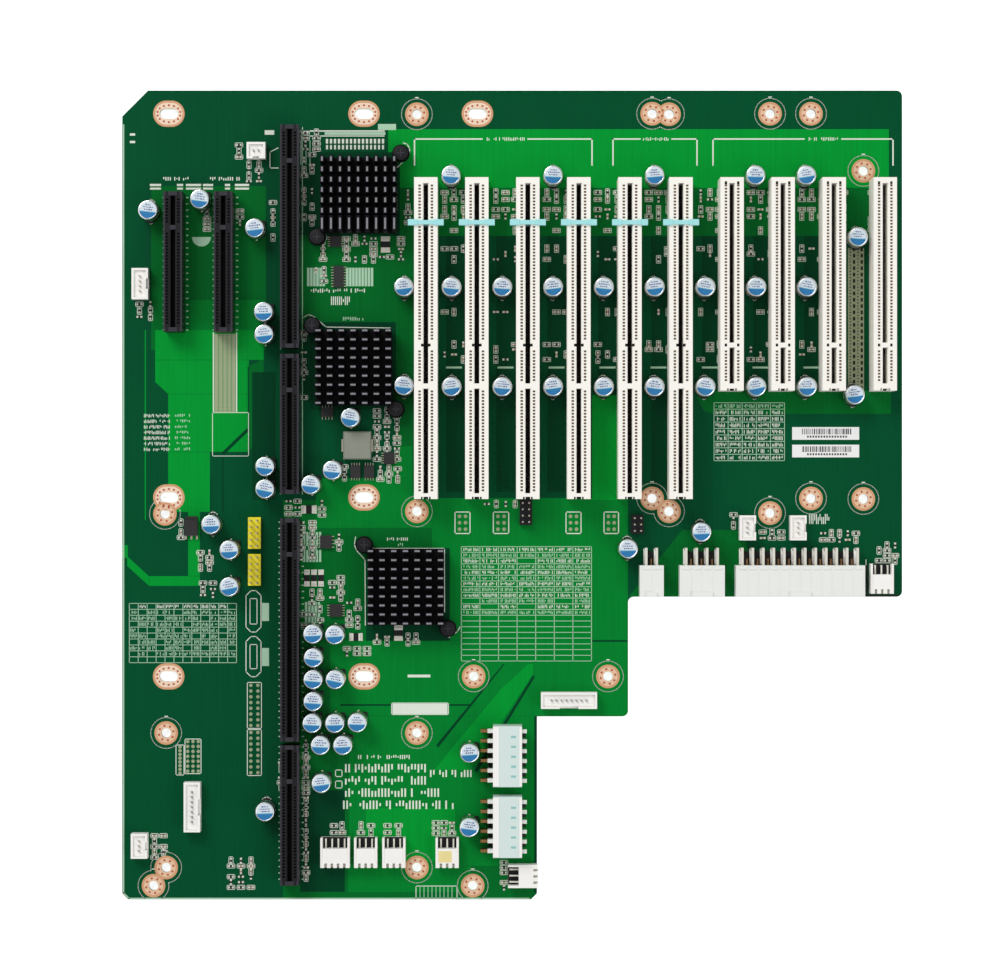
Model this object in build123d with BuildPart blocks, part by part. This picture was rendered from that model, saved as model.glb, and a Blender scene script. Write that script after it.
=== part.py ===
from build123d import *
import os

os.makedirs("parts", exist_ok=True)

# Passive backplane, lying flat with its components up. Origin: centre of the board's outline, at the
# level of the surface that the connector posts stand on. +Y runs along the slots, towards their rear ends.

# Board
board_width = 314.2
board_length = 325.9
board_thickness = 1.6
post_reach = 1.4
corner_radius = 2.3
rear_chamfer = 10.4
front_chamfer = 2.4
board_floor = post_reach
board_top = board_floor + board_thickness
half_w = board_width / 2
half_l = board_length / 2

# Mounting holes
round_hole = 3.8
slot_hole_length = 7.3
slot_hole_width = 4.0

# Expansion slots
slot_pitch = 20.32
last_slot_margin = 8.67
long_slot_length = 128.1
short_slot_length = 84.9
slot_width = 9.3
slot_height = 15.5
groove_width = 1.9
groove_depth = 11.0
end_wall = 2.3
divider_offset = 83.1
divider_width = 2.0
key_offset = 66.8
key_width = 1.9
contact_offset = 2.5
contact_width = 1.3
contact_depth = 1.2
key_insert_offset = 18.0
key_insert_reach = 2.5
key_insert_width = 1.7
key_insert_height = 1.5
post_size = 2.2
post_inset = 5.0
post_clearance = 0.1
count_long = 6
count_short = 4

# Host board and lane connectors
host_to_slots = 54.55
host_width = 7.5
host_height = 11.25
host_groove_width = 1.8
host_groove_depth = 7.8
host_end_wall = 1.7
host_key_offset = 14.4
host_key_width = 1.8
host_long = 89.2
host_short = 56.0
host_gaps = [2.4, 9.7, 1.5, 0]
host_rear_share = 0.683

# Heatsinks over the bridge chips
sink_size = 30.5
sink_height = 11.0
sink_base = 2.6
fin_count = 9
fin_thickness = 1.9
ear_offset = 16.8
ear_radius = 3.4
push_pin_radius = 1.6
push_pin_head = 2.9
push_pin_head_height = 2.0
chip_size = 23.0
chip_height = 2.3

# Surface capacitors
can_radius = 4.0
can_height = 9.0
can_base_size = 8.3
can_base_height = 1.2
can_pitch = 9.0

# Power headers with their openings to the front
power_pitch = 4.2
power_end_wall = 0.6
power_rear_wall = 2.0
power_to_slots = 26.6
power_depth = 12.6
power_height = 9.6
power_cell = 3.4
power_way_count = {"main": 12, "board": 4, "aux": 2}
power_gaps = {"main": 2.65, "board": 4.5, "aux": 6.4}
latch_depth = 2.0
latch_height = 1.0
lead_width = 1.0
lead_reach = 7.0
lead_rise = 7.2
step_clearance = 0.2
step_margin = 4.3

# Two six-way headers that face the board's side
side_pitch = 3.96
side_way_count = 6
side_end_wall = 0.3
side_wall = 1.0
side_floor = 1.5
side_rear_wall = 3.0
side_width = 11.6
side_height = 11.0
side_margin = 11.9
side_lead_reach = 5.0
side_front_offsets = [58.45, 30.15]

# Right-angle wafers and upright wafers
wafer_pitch = 2.5
wafer_wall = 0.9
wafer_floor = 1.2
wafer_bar = 2.0
wafer_height = 6.0
wafer_depth = 12.0
wafer_way_count = 3
pin_size = 0.64
wafer_front_offset = 19.35
corner_margin = 8.7
upright_height = 5.8
upright_depth = 6.6
upright_floor = 2.2
upright_pitch = 2.0

# Bare pin headers
header_pitch = 2.54
header_base_height = 2.5
header_post_height = 8.6

# Coil, regulator, small chips and stickers
coil_size = 11.2
coil_height = 4.5
coil_chamfer = 0.5
chip_thickness = 1.5
regulator_width = 5.4
regulator_length = 6.4
regulator_height = 2.3
tab_width = 5.0
tab_length = 1.4
tab_thickness = 0.6
sticker_size = (27.0, 5.1)
sticker_thickness = 0.1

# The layout was drawn on this board, with its first slot, host column and slot field's rear line here.
# Between them the places keep their spacing, and outside them they share out what the board has left.
layout_board = (314.2, 325.9)
layout_first_slot = -34.45
layout_host = -89.0
layout_slot_rear = 126.5


def along(y):
    """Where a drawn y lies on this board: it keeps its share of the length."""
    return y * board_length / layout_board[1]


def slot_x(index):
    """The x of a slot, counted from the last one beside the board's right edge."""
    pitch = slot_pitch * board_width / layout_board[0]
    return half_w - last_slot_margin - (count_long + count_short - 1 - index) * pitch


host_x = slot_x(0) - host_to_slots


def across(x):
    """Where a drawn x lies on this board, zone by zone."""
    if x < layout_host:
        return host_x + (x - layout_host) * (host_x + half_w) / (layout_host + layout_board[0] / 2)
    if x < layout_first_slot:
        return host_x + x - layout_host
    return slot_x(0) + (x - layout_first_slot) * board_width / layout_board[0]


slot_rear_y = along(layout_slot_rear)
slot_front_y = slot_rear_y - long_slot_length
divider_y = slot_rear_y - divider_offset
key_y = slot_rear_y - key_offset
key_insert_y = slot_rear_y - key_insert_offset

# The host column stands clear of the board's ends by shares of what its connectors leave
host_lengths = [host_long, host_short, host_long, host_short]
host_rears = []
next_rear = half_l - host_rear_share * (board_length - sum(host_lengths) - sum(host_gaps))
for length, gap in zip(host_lengths, host_gaps):
    host_rears.append((next_rear, length))
    next_rear -= length + gap
lane_xs = [across(-135.6), across(-115.5)]
lane_rear = along(121.3)

# The power headers stand in a row from the corner wafer inwards, and the board steps in front of them
corner_x = half_w - corner_margin
power_rear_y = slot_front_y - power_to_slots
power_xs = {}
row_end = corner_x - (wafer_way_count * wafer_pitch + 2 * wafer_wall) / 2
for name, ways in power_way_count.items():
    width = ways * power_pitch + 2 * power_end_wall
    power_xs[name] = row_end - power_gaps[name] - width / 2
    row_end = power_xs[name] - width / 2
step_x = row_end - step_margin
step_y = power_rear_y - power_depth - step_clearance
foot_x = across(10.0)
foot_y = along(-89.2)
side_x = foot_x - side_margin
side_ys = [offset - half_l for offset in side_front_offsets]

# Heatsinks: centre, hand of the ears and turn
sinks = [
    ((across(-61.5), along(120.4)), 1, 90), ((across(-63.5), along(51.2)), -1, 0),
    ((across(-42.6), slot_front_y - 35.2), -1, 0),
]
coil_place = (across(-62.3), along(51.2) - 31.3)

# Capacitors, in the gaps between the slots, in a bank beside the host column and alone: x, y and turn
rear_row = [(0, -0.2), (2, 0.0), (4, 0.0), (6, -0.3), (7, -0.3)]
cans = [(slot_x(gap + 0.5) + shift, slot_rear_y + 1.4, 0) for gap, shift in rear_row]
for row_offset in (43.3, 83.2):
    cans += [(slot_x(gap + 0.5), slot_rear_y - row_offset, 0) for gap in range(count_long + count_short - 2)]
bank = [
    (9.2, 24.4), (18.0, 24.1), (9.4, 14.9), (9.3, 6.2), (18.2, 6.2), (9.3, -2.6), (8.9, -11.3),
    (18.0, -11.3), (27.0, -11.0), (12.2, -20.1), (21.2, -20.1), (12.5, -35.3),
]
cans += [(host_x + dx, along(-80.0) + dy, 0) for dx, dy in bank]
cans += [
    (lane_xs[0] - 10.0, along(114.0), 45), ((lane_xs[0] + lane_xs[1]) / 2 + 0.55, along(118.3), 0),
    (across(-103.0), along(106.7), 0), (across(-99.5), along(73.3), 0),
    (across(-99.3), along(73.3) - can_pitch, 0), (slot_x(0) - 8.95, slot_rear_y - 43.3, 0),
    (slot_x(0) - 8.95, along(51.2) - 7.5, 0), (across(-64.8), along(51.2) - 20.3, 0),
    (across(-98.9), along(11.4), 0), (across(-98.9), along(11.4) - can_pitch, 0),
    (across(-72.0), along(51.2) - 41.3, 0), (across(-80.6), along(51.2) - 47.1, 0),
    (across(-120.5), along(-15.3) + 3.5, 45), (across(-113.2), along(-15.3) - 6.7, 0),
    (across(-113.2), along(-15.3) - 21.4, 0), (slot_x(8) + 10.2, slot_rear_y - 23.3, 0),
    (slot_x(8) + 8.9, slot_rear_y - 86.4, 0), (power_xs["aux"] - 9.5, slot_front_y - 19.9, 45),
    (power_xs["board"] - 0.3, slot_front_y - 13.2, 45), (side_x - 15.2, side_ys[0] + 1.3, 0),
    (side_x - 15.3, side_ys[1] - 0.1, 0), (across(-98.9), along(-126.6), 45),
]

# Wafers: x, y, turn and ways
wafers = {
    "fan_a_header": (across(-71.1), wafer_front_offset - half_l, 0, 4),
    "fan_b_header": (across(-58.8), wafer_front_offset - half_l, 0, 3),
    "fan_c_header": (across(-47.5), wafer_front_offset - half_l, 0, 3),
    "fan_d_header": (across(-26.1), wafer_front_offset - half_l, 0, 3),
    "corner_header": (corner_x, power_rear_y - 5.4, 0, wafer_way_count),
    "edge_header": (foot_x - 5.7, 9.95 - half_l, 90, wafer_way_count),
}
uprights = [
    (7.7 - half_w, along(84.8), 90, 5), (across(-102.8), along(138.3), 0, 3),
    (across(-128.5), 37.65 - half_l, 90, 8), (7.4 - half_w, 22.05 - half_l, 90, 4),
    ((foot_x + step_x) / 2 - 5.55, foot_y + 6.7, 0, 9), (across(94.5), slot_front_y - 11.6, 90, 4),
    (across(114.8), slot_front_y - 11.6, 90, 4),
]
yellow_headers = [(across(-103.7), along(-15.3), 5), (across(-103.7), along(-15.3) - 14.8, 5)]
black_headers = [(slot_x(2) - 0.7, slot_front_y - 5.4, 4), (slot_x(4) + 3.5, slot_front_y - 10.2, 3)]

# Small chips: x, y, width and length
chips = [
    (across(-63.1), along(51.2) - 41.8, 4.0, 5.0), (across(-57.6), along(51.2) - 41.8, 4.0, 5.0),
    (across(-49.6), along(51.2) - 36.3, 4.2, 4.8), (across(-74.5), along(51.2) - 17.8, 4.8, 4.0),
    (across(-69.9), along(87.9), 4.0, 8.6), (across(-71.1), along(102.1), 4.4, 4.4),
    (across(-75.0), along(-18.9), 4.6, 5.2), (across(-71.0), along(-80.0) + 33.5, 5.0, 5.0),
]
regulator_place = (across(-120.5) - 8.7, along(-15.3) + 2.1)
sticker_places = [(across(126.3), slot_rear_y - 101.7), (across(126.3), slot_rear_y - 108.8)]


def post_places(length):
    return [(0, length / 2 - post_inset), (0, post_inset - length / 2)]


expansion_slots = [(slot_x(i), long_slot_length) for i in range(count_long)]
expansion_slots += [(slot_x(count_long + i), short_slot_length) for i in range(count_short)]
card_connectors = [(x, slot_rear_y, length) for x, length in expansion_slots]
card_connectors += [(host_x, rear, length) for rear, length in host_rears]
card_connectors += [(x, lane_rear, host_short) for x in lane_xs]
post_holes = [
    (x + px, rear - length / 2 + py)
    for x, rear, length in card_connectors
    for px, py in post_places(length)
]

# Holes by the boards and chassis patterns that they serve
slotted_holes = [(across(x), along(y)) for y in (153.6, -1.0) for x in (-138.3, -59.7)]
slotted_holes += [(across(-14.0), along(153.6))]
slotted_holes += [(across(x), along(-73.1)) for x in (-138.4, -59.6)]
round_holes = [(across(x), along(153.4)) for x in (-38.4, 63.2)]
round_holes += [(across(x), along(153.6)) for x in (56.4, 103.9, 120.4)]
round_holes += [(across(x), slot_front_y - 5.0) for x in (-38.4, 63.2)]
round_holes += [(across(x), slot_front_y + 0.2) for x in (56.4, 120.4)]
round_holes += [(across(103.9), slot_front_y - 5.7), (across(141.5), slot_front_y)]
round_holes += [(across(141.5), along(130.6))]
round_holes += [(across(-139.9), along(-7.6)), (across(-15.5), foot_y + 16.1), (step_x - 8.1, foot_y + 16.1)]
round_holes += [(across(x), along(y)) for x in (-139.4, -38.4) for y in (-95.9, -150.1)]
round_holes += [(across(x), along(-157.4)) for x in (-144.5, -15.9)]

# Circuit board: a stepped laminate with its mounting and post holes
with BuildPart() as board:
    with BuildSketch(Plane.XY.offset(board_floor)):
        with BuildLine():
            Polyline(
                (-half_w, half_l - rear_chamfer), (-half_w + rear_chamfer, half_l), (half_w, half_l),
                (half_w, step_y), (step_x, step_y), (step_x, foot_y), (foot_x, foot_y),
                (foot_x, front_chamfer - half_l), (foot_x - front_chamfer, -half_l),
                (front_chamfer - half_w, -half_l), (-half_w, front_chamfer - half_l), close=True,
            )
        outline = make_face()
        corners = [(half_w, half_l), (half_w, step_y), (step_x, step_y), (step_x, foot_y)]
        nearest = [outline.vertices().sort_by_distance((x, y, board_floor))[0] for x, y in corners]
        fillet(nearest, corner_radius)
        with Locations(*slotted_holes):
            SlotOverall(slot_hole_length, slot_hole_width, mode=Mode.SUBTRACT)
        with Locations(*round_holes):
            Circle(round_hole / 2, mode=Mode.SUBTRACT)
        with Locations(*post_holes):
            Rectangle(post_size + 2 * post_clearance, post_size + 2 * post_clearance, mode=Mode.SUBTRACT)
    extrude(amount=board_thickness)
board.part.label = "circuit_board"
export_step(board.part, "parts/circuit_board.step")


def expansion_slot(x, length, keyed):
    """A card slot: keyed groove between two rows of contact cells, on two square locating posts."""
    middle = slot_rear_y - length / 2
    front = slot_rear_y - length
    groove_rear = slot_rear_y - end_wall
    stops = [groove_rear, divider_y]
    if length == long_slot_length:
        stops.append(front + end_wall)
    with BuildPart() as housing:
        with BuildSketch(Plane.XY.offset(board_top)):
            with Locations((x, middle)):
                Rectangle(slot_width, length)
        extrude(amount=slot_height)
        with BuildSketch(Plane.XY.offset(board_top + slot_height)):
            for rear, fore in zip(stops, stops[1:]):
                a = rear - (divider_width / 2 if rear == divider_y else 0)
                b = fore + (divider_width / 2 if fore == divider_y else 0)
                spans = [(a, b)]
                if keyed and a > key_y > b:
                    spans = [(a, key_y + key_width / 2), (key_y - key_width / 2, b)]
                for high, low in spans:
                    with Locations((x, (high + low) / 2)):
                        Rectangle(groove_width, high - low)
        extrude(amount=-groove_depth, mode=Mode.SUBTRACT)
        with BuildSketch(Plane.XY.offset(board_top + slot_height)):
            for side in (-1, 1):
                with Locations((x + side * contact_offset, middle)):
                    Rectangle(contact_width, length - 2 * end_wall)
        extrude(amount=-contact_depth, mode=Mode.SUBTRACT)
        if not keyed:
            with BuildSketch(Plane.XY.offset(board_top + slot_height)):
                with Locations((x, key_y)):
                    Rectangle(slot_width - 2 * contact_width, key_width)
            extrude(amount=-contact_depth, mode=Mode.SUBTRACT)
        with BuildSketch(Plane.XY.offset(board_top)):
            for px, py in post_places(length):
                with Locations((x + px, middle + py)):
                    Rectangle(post_size, post_size)
        extrude(amount=-(board_thickness + post_reach))
    return housing


def key_insert(x):
    """A keying bar that straddles the slot and drops a blade into its groove."""
    insert_top = board_top + slot_height + key_insert_height
    with BuildPart() as insert:
        with BuildSketch(Plane.XY.offset(board_top + slot_height)):
            with Locations((x, key_insert_y)):
                Rectangle(slot_width + 2 * key_insert_reach, key_insert_width)
        extrude(amount=key_insert_height)
        with BuildSketch(Plane.XY.offset(board_top + slot_height)):
            with Locations((x, key_insert_y)):
                Rectangle(groove_width - 2 * post_clearance, key_insert_width)
        extrude(amount=post_clearance - groove_depth)
        chamfer(insert.faces().sort_by(Axis.Z)[-1].edges().filter_by(Axis.Y), key_insert_height / 3)
    return insert


for i, (x, length) in enumerate(expansion_slots):
    is_long = length == long_slot_length
    name = f"long_slot_{i + 1}" if is_long else f"short_slot_{i + 1 - count_long}"
    slot = expansion_slot(x, length, not is_long)
    slot.part.label = name
    export_step(slot.part, f"parts/{name}.step")
    if is_long:
        insert = key_insert(x)
        insert.part.label = f"key_insert_{i + 1}"
        export_step(insert.part, f"parts/key_insert_{i + 1}.step")


def lane_slot(x, rear, length):
    """A narrow card slot with one key near its rear end and raised end walls."""
    middle = rear - length / 2
    key_at = rear - host_key_offset
    front = rear - length
    with BuildPart() as housing:
        with BuildSketch(Plane.XY.offset(board_top)):
            with Locations((x, middle)):
                Rectangle(host_width, length)
        extrude(amount=host_height)
        with BuildSketch(Plane.XY.offset(board_top + host_height)):
            for high, low in [
                (rear - host_end_wall, key_at + host_key_width / 2),
                (key_at - host_key_width / 2, front + host_end_wall),
            ]:
                with Locations((x, (high + low) / 2)):
                    Rectangle(host_groove_width, high - low)
        extrude(amount=-host_groove_depth, mode=Mode.SUBTRACT)
        with BuildSketch(Plane.XY.offset(board_top)):
            for px, py in post_places(length):
                with Locations((x + px, middle + py)):
                    Rectangle(post_size, post_size)
        extrude(amount=-(board_thickness + post_reach))
    return housing


for i, (rear, length) in enumerate(host_rears):
    slot = lane_slot(host_x, rear, length)
    slot.part.label = f"host_slot_{i + 1}"
    export_step(slot.part, f"parts/host_slot_{i + 1}.step")
for i, x in enumerate(lane_xs):
    slot = lane_slot(x, lane_rear, host_short)
    slot.part.label = f"lane_slot_{i + 1}"
    export_step(slot.part, f"parts/lane_slot_{i + 1}.step")


def ear_places(hand):
    return [(hand * ear_offset, ear_offset), (-hand * ear_offset, -ear_offset)]


def heatsink(hand):
    """A finned heatsink about its own centre, with two diagonal ears for its push pins."""
    fin_base = board_top + chip_height + sink_base
    fin_pitch = (sink_size - fin_thickness) / (fin_count - 1)
    with BuildPart() as sink:
        with BuildSketch(Plane.XY.offset(board_top + chip_height)):
            Rectangle(sink_size, sink_size)
            for ex, ey in ear_places(hand):
                with Locations((ex, ey)):
                    RegularPolygon(ear_radius, 8, rotation=22.5)
            with Locations(*ear_places(hand)):
                Rectangle(2 * push_pin_radius, 2 * push_pin_radius, mode=Mode.SUBTRACT)
        extrude(amount=sink_base)
        with BuildSketch(Plane.XY.offset(fin_base)):
            with GridLocations(sink_size, fin_pitch, 1, fin_count):
                Rectangle(sink_size, fin_thickness)
            for ex, ey in ear_places(hand):
                with Locations((ex, ey)):
                    Rectangle(2 * ear_radius + 1, 2 * ear_radius + 1, mode=Mode.SUBTRACT)
        extrude(amount=sink_height - sink_base)
    return sink


def push_pin():
    """A push pin with its domed head above the ear and its shank down to the board."""
    ear_top = board_top + chip_height + sink_base
    with BuildPart() as pin:
        with BuildSketch(Plane.XY.offset(board_top)):
            Rectangle(2 * (push_pin_radius - post_clearance), 2 * (push_pin_radius - post_clearance))
        extrude(amount=ear_top - board_top)
        with BuildSketch(Plane.XY.offset(ear_top)):
            RegularPolygon(push_pin_head, 8)
        extrude(amount=push_pin_head_height)
    return pin


pins = []
one_pin = push_pin().part
for i, (centre, hand, turn) in enumerate(sinks):
    turned = Location((centre[0], centre[1], 0), (0, 0, turn))
    sink = heatsink(hand if turn == 0 else -hand)
    placed = turned * sink.part
    placed.label = f"heatsink_{i + 1}"
    export_step(placed, f"parts/heatsink_{i + 1}.step")
    pins += [Location((centre[0] + ex, centre[1] + ey, 0)) * one_pin for ex, ey in ear_places(hand)]
    with BuildPart() as chip:
        with BuildSketch(Plane.XY.offset(board_top)):
            with Locations(centre):
                Rectangle(chip_size, chip_size)
        extrude(amount=chip_height)
    chip.part.label = f"bridge_chip_{i + 1}"
    export_step(chip.part, f"parts/bridge_chip_{i + 1}.step")


def group(name, pieces):
    """Like pieces, kept as separate solids in one file."""
    bundle = Compound(label=name, children=pieces)
    export_step(bundle, f"parts/{name}.step")


group("push_pins", pins)

# Capacitors: a moulded base and a can
with BuildPart() as can_base:
    with BuildSketch(Plane.XY.offset(board_top)):
        Rectangle(can_base_size, can_base_size)
    extrude(amount=can_base_height)
with BuildPart() as can:
    with BuildSketch(Plane.XY.offset(board_top + can_base_height)):
        RegularPolygon(can_radius, 12)
    extrude(amount=can_height)
group("capacitor_cans", [Location((x, y, 0)) * can.part for x, y, _ in cans])
group("capacitor_bases", [Location((x, y, 0), (0, 0, turn)) * can_base.part for x, y, turn in cans])


def power_header(x, ways):
    """A right-angle power header: two rows of square cells open to the front, a latch ridge on top."""
    width = ways * power_pitch + 2 * power_end_wall
    front = power_rear_y - power_depth
    latch_width = power_pitch * min(ways, 4)
    with BuildPart() as header:
        with BuildSketch(Plane.XY.offset(board_top)):
            with Locations((x, power_rear_y - power_depth / 2)):
                Rectangle(width, power_depth)
        extrude(amount=power_height)
        with BuildSketch(Plane.XZ.offset(-front)):
            with Locations((x, board_top + power_height / 2)):
                with GridLocations(power_pitch, power_pitch, ways, 2):
                    Rectangle(power_cell, power_cell)
        extrude(amount=power_rear_wall - power_depth, mode=Mode.SUBTRACT)
        with BuildSketch(Plane.XY.offset(board_top + power_height)):
            with Locations((x, front + latch_depth / 2)):
                Rectangle(latch_width / 2, latch_depth)
        extrude(amount=latch_height)
    return header


def bent_lead(x, y, rise, run):
    """A square lead that leaves a header's rear at a height and turns down to the board."""
    with BuildPart() as lead:
        with BuildSketch(Plane.YZ.offset(x - lead_width / 2)):
            with BuildLine():
                Polyline(
                    (y, board_top + rise), (y + run, board_top + rise), (y + run, board_top),
                    (y + run - lead_width, board_top), (y + run - lead_width, board_top + rise - lead_width),
                    (y, board_top + rise - lead_width), close=True,
                )
            make_face()
        extrude(amount=lead_width)
    return lead.part


leads = []
for name, ways in power_way_count.items():
    header = power_header(power_xs[name], ways)
    header.part.label = f"{name}_power_header"
    export_step(header.part, f"parts/{name}_power_header.step")
    for i in range(ways):
        lead_x = power_xs[name] + (i - (ways - 1) / 2) * power_pitch
        leads.append(bent_lead(lead_x, power_rear_y, lead_rise, lead_reach))
group("power_leads", leads)

# Six-way side headers: boxes open to the board's side, with their leads behind
side_length = side_way_count * side_pitch + 2 * side_end_wall
side_leads = []
for i, y in enumerate(side_ys):
    with BuildPart() as side_header:
        with BuildSketch(Plane.XY.offset(board_top)):
            with Locations((side_x, y)):
                Rectangle(side_width, side_length)
        extrude(amount=side_height)
        with BuildSketch(Plane.YZ.offset(side_x + side_width / 2)):
            with Locations((y, board_top + side_height / 2)):
                Rectangle(side_length - 2 * side_wall, side_height - 2 * side_floor)
        extrude(amount=side_rear_wall - side_width, mode=Mode.SUBTRACT)
    side_header.part.label = f"side_power_header_{i + 1}"
    export_step(side_header.part, f"parts/side_power_header_{i + 1}.step")
    for n in range(side_way_count):
        lead_y = y + (n - (side_way_count - 1) / 2) * side_pitch
        with BuildPart() as side_lead:
            with BuildSketch(Plane.XY.offset(board_top)):
                with Locations((side_x - side_width / 2 - side_lead_reach / 2, lead_y)):
                    Rectangle(side_lead_reach, lead_width)
            extrude(amount=side_height / 2)
        side_leads.append(side_lead.part)
group("side_power_leads", side_leads)


def wafer(ways, height, depth):
    """A right-angle wafer: floor, rear wall and two cheeks round a row of lying pins."""
    width = ways * wafer_pitch + 2 * wafer_wall
    with BuildPart() as body:
        with BuildSketch(Plane.XY.offset(board_top)):
            Rectangle(width, depth)
        extrude(amount=height)
        with BuildSketch(Plane.XY.offset(board_top + height)):
            with Locations((0, -wafer_wall)):
                Rectangle(width - 2 * wafer_wall, depth)
        extrude(amount=wafer_floor - height, mode=Mode.SUBTRACT)
        with BuildSketch(Plane.XY.offset(board_top + wafer_floor)):
            with Locations((0, depth / 2 - 3 * wafer_bar / 2)):
                Rectangle(width - 2 * wafer_wall, wafer_bar)
        extrude(amount=height - wafer_floor)
    return body.part


def wafer_pins(ways, height, depth):
    """Lying pins of a wafer, clear of its floor, from its inner wall to the front."""
    with BuildPart() as row:
        with BuildSketch(Plane.XY.offset(board_top + height / 2)):
            with Locations((0, -wafer_bar - wafer_wall / 2)):
                with GridLocations(wafer_pitch, depth, ways, 1):
                    Rectangle(pin_size, depth - 2 * wafer_bar - wafer_wall)
        extrude(amount=pin_size)
    return row.part.solids()


pin_solids = []
for name, (x, y, turn, ways) in wafers.items():
    place = Location((x, y, 0), (0, 0, turn))
    body = place * wafer(ways, wafer_height, wafer_depth)
    body.label = name
    export_step(body, f"parts/{name}.step")
    pin_solids += [place * s for s in wafer_pins(ways, wafer_height, wafer_depth)]


def upright_wafer(ways):
    """An upright wafer: a walled tray whose front wall has a slot."""
    width = ways * wafer_pitch
    with BuildPart() as body:
        with BuildSketch(Plane.XY.offset(board_top)):
            Rectangle(width, upright_depth)
        extrude(amount=upright_height)
        with BuildSketch(Plane.XY.offset(board_top + upright_height)):
            Rectangle(width - 2 * wafer_wall, upright_depth - 2 * wafer_wall)
        extrude(amount=upright_floor - upright_height, mode=Mode.SUBTRACT)
        with BuildSketch(Plane.XY.offset(board_top + upright_height)):
            with Locations((0, -upright_depth / 2)):
                Rectangle(width / 3, 3 * wafer_wall)
        extrude(amount=upright_floor - upright_height, mode=Mode.SUBTRACT)
    return body.part


for i, (x, y, turn, ways) in enumerate(uprights):
    place = Location((x, y, 0), (0, 0, turn))
    body = place * upright_wafer(ways)
    body.label = f"upright_header_{i + 1}"
    export_step(body, f"parts/upright_header_{i + 1}.step")
    with BuildPart() as row:
        with BuildSketch(Plane.XY.offset(board_top + upright_floor)):
            with GridLocations(upright_pitch, upright_depth, ways - 1, 1):
                Rectangle(pin_size, pin_size)
        extrude(amount=upright_height - upright_floor)
    pin_solids += [place * s for s in row.part.solids()]


def bare_header(x, y, rows):
    """The insulator of a two-row pin strip."""
    with BuildPart() as strip:
        with BuildSketch(Plane.XY.offset(board_top)):
            with Locations((x, y)):
                Rectangle(2 * header_pitch, rows * header_pitch)
        extrude(amount=header_base_height)
    return strip.part


for name, places in (("yellow", yellow_headers), ("black", black_headers)):
    group(f"{name}_header_bases", [bare_header(x, y, rows) for x, y, rows in places])
for x, y, rows in yellow_headers + black_headers:
    with BuildPart() as posts:
        with BuildSketch(Plane.XY.offset(board_top + header_base_height)):
            with Locations((x, y)):
                with GridLocations(header_pitch, header_pitch, 2, rows):
                    Rectangle(pin_size, pin_size)
        extrude(amount=header_post_height - header_base_height)
    pin_solids += posts.part.solids()
group("signal_pins", pin_solids)

# Shielded coil, regulator and small chips
with BuildPart() as coil:
    with BuildSketch(Plane.XY.offset(board_top)):
        with Locations(coil_place):
            Rectangle(coil_size, coil_size)
    extrude(amount=coil_height)
    chamfer(coil.faces().sort_by(Axis.Z)[-1].edges(), coil_chamfer)
coil.part.label = "power_coil"
export_step(coil.part, "parts/power_coil.step")

small_chips = []
for x, y, width, length in chips:
    with BuildPart() as chip:
        with BuildSketch(Plane.XY.offset(board_top)):
            with Locations((x, y)):
                Rectangle(width, length)
        extrude(amount=chip_thickness)
    small_chips.append(chip.part)
group("small_chips", small_chips)

with BuildPart() as regulator:
    with BuildSketch(Plane.XY.offset(board_top)):
        with Locations(regulator_place):
            Rectangle(regulator_width, regulator_length)
    extrude(amount=regulator_height)
    with BuildSketch(Plane.XY.offset(board_top)):
        with Locations((regulator_place[0], regulator_place[1] + (regulator_length + tab_length) / 2)):
            Rectangle(tab_width, tab_length)
    extrude(amount=tab_thickness)
regulator.part.label = "regulator"
export_step(regulator.part, "parts/regulator.step")

stickers = []
for x, y in sticker_places:
    with BuildPart() as sticker:
        with BuildSketch(Plane.XY.offset(board_top)):
            with Locations((x, y)):
                Rectangle(*sticker_size)
        extrude(amount=sticker_thickness)
    stickers.append(sticker.part)
group("stickers", stickers)
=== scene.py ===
import math
import random

import bmesh
import bpy
from mathutils import Matrix, Vector


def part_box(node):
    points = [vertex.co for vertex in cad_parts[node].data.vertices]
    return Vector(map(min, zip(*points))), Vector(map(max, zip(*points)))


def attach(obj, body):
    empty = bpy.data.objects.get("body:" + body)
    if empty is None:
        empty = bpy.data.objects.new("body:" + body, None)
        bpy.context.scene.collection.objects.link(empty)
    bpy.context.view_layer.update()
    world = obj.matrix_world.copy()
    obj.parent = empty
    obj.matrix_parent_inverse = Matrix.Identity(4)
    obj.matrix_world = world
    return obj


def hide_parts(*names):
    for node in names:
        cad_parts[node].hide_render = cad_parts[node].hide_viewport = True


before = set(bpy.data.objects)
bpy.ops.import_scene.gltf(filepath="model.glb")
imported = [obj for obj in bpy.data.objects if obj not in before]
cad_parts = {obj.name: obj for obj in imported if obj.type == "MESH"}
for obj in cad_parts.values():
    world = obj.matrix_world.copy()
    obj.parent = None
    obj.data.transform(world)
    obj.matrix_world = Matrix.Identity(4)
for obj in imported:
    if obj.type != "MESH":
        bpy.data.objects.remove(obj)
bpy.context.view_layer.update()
random.seed(7)

# Shapes are worked out in millimetres in the shared frame and scaled once, when a mesh is made
MM = 0.001
board_low, board_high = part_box("circuit_board")
TOP = board_high[2] / MM

# The photograph looks straight down from this height above the board, at this point of the board
CAMERA_RISE = 1250.0
NADIR = (-4.9, 2.0)
PIXELS_PER_MM = 2.482
PHOTO_CENTRE = (500, 490)


def at_pixel(px, py, height=0.0):
    """Where a pixel of the photograph lies, at a height above the board."""
    scale = PIXELS_PER_MM * (1 + height / (CAMERA_RISE - height))
    return (px - PHOTO_CENTRE[0]) / scale + NADIR[0], (PHOTO_CENTRE[1] - py) / scale + NADIR[1]


# Material helpers
def linear(colour):
    """A matched 0 to 255 colour as linear RGBA."""
    parts = [c / 255 for c in colour]
    return tuple(c / 12.92 if c <= 0.04045 else ((c + 0.055) / 1.055) ** 2.4 for c in parts) + (1.0,)


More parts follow.
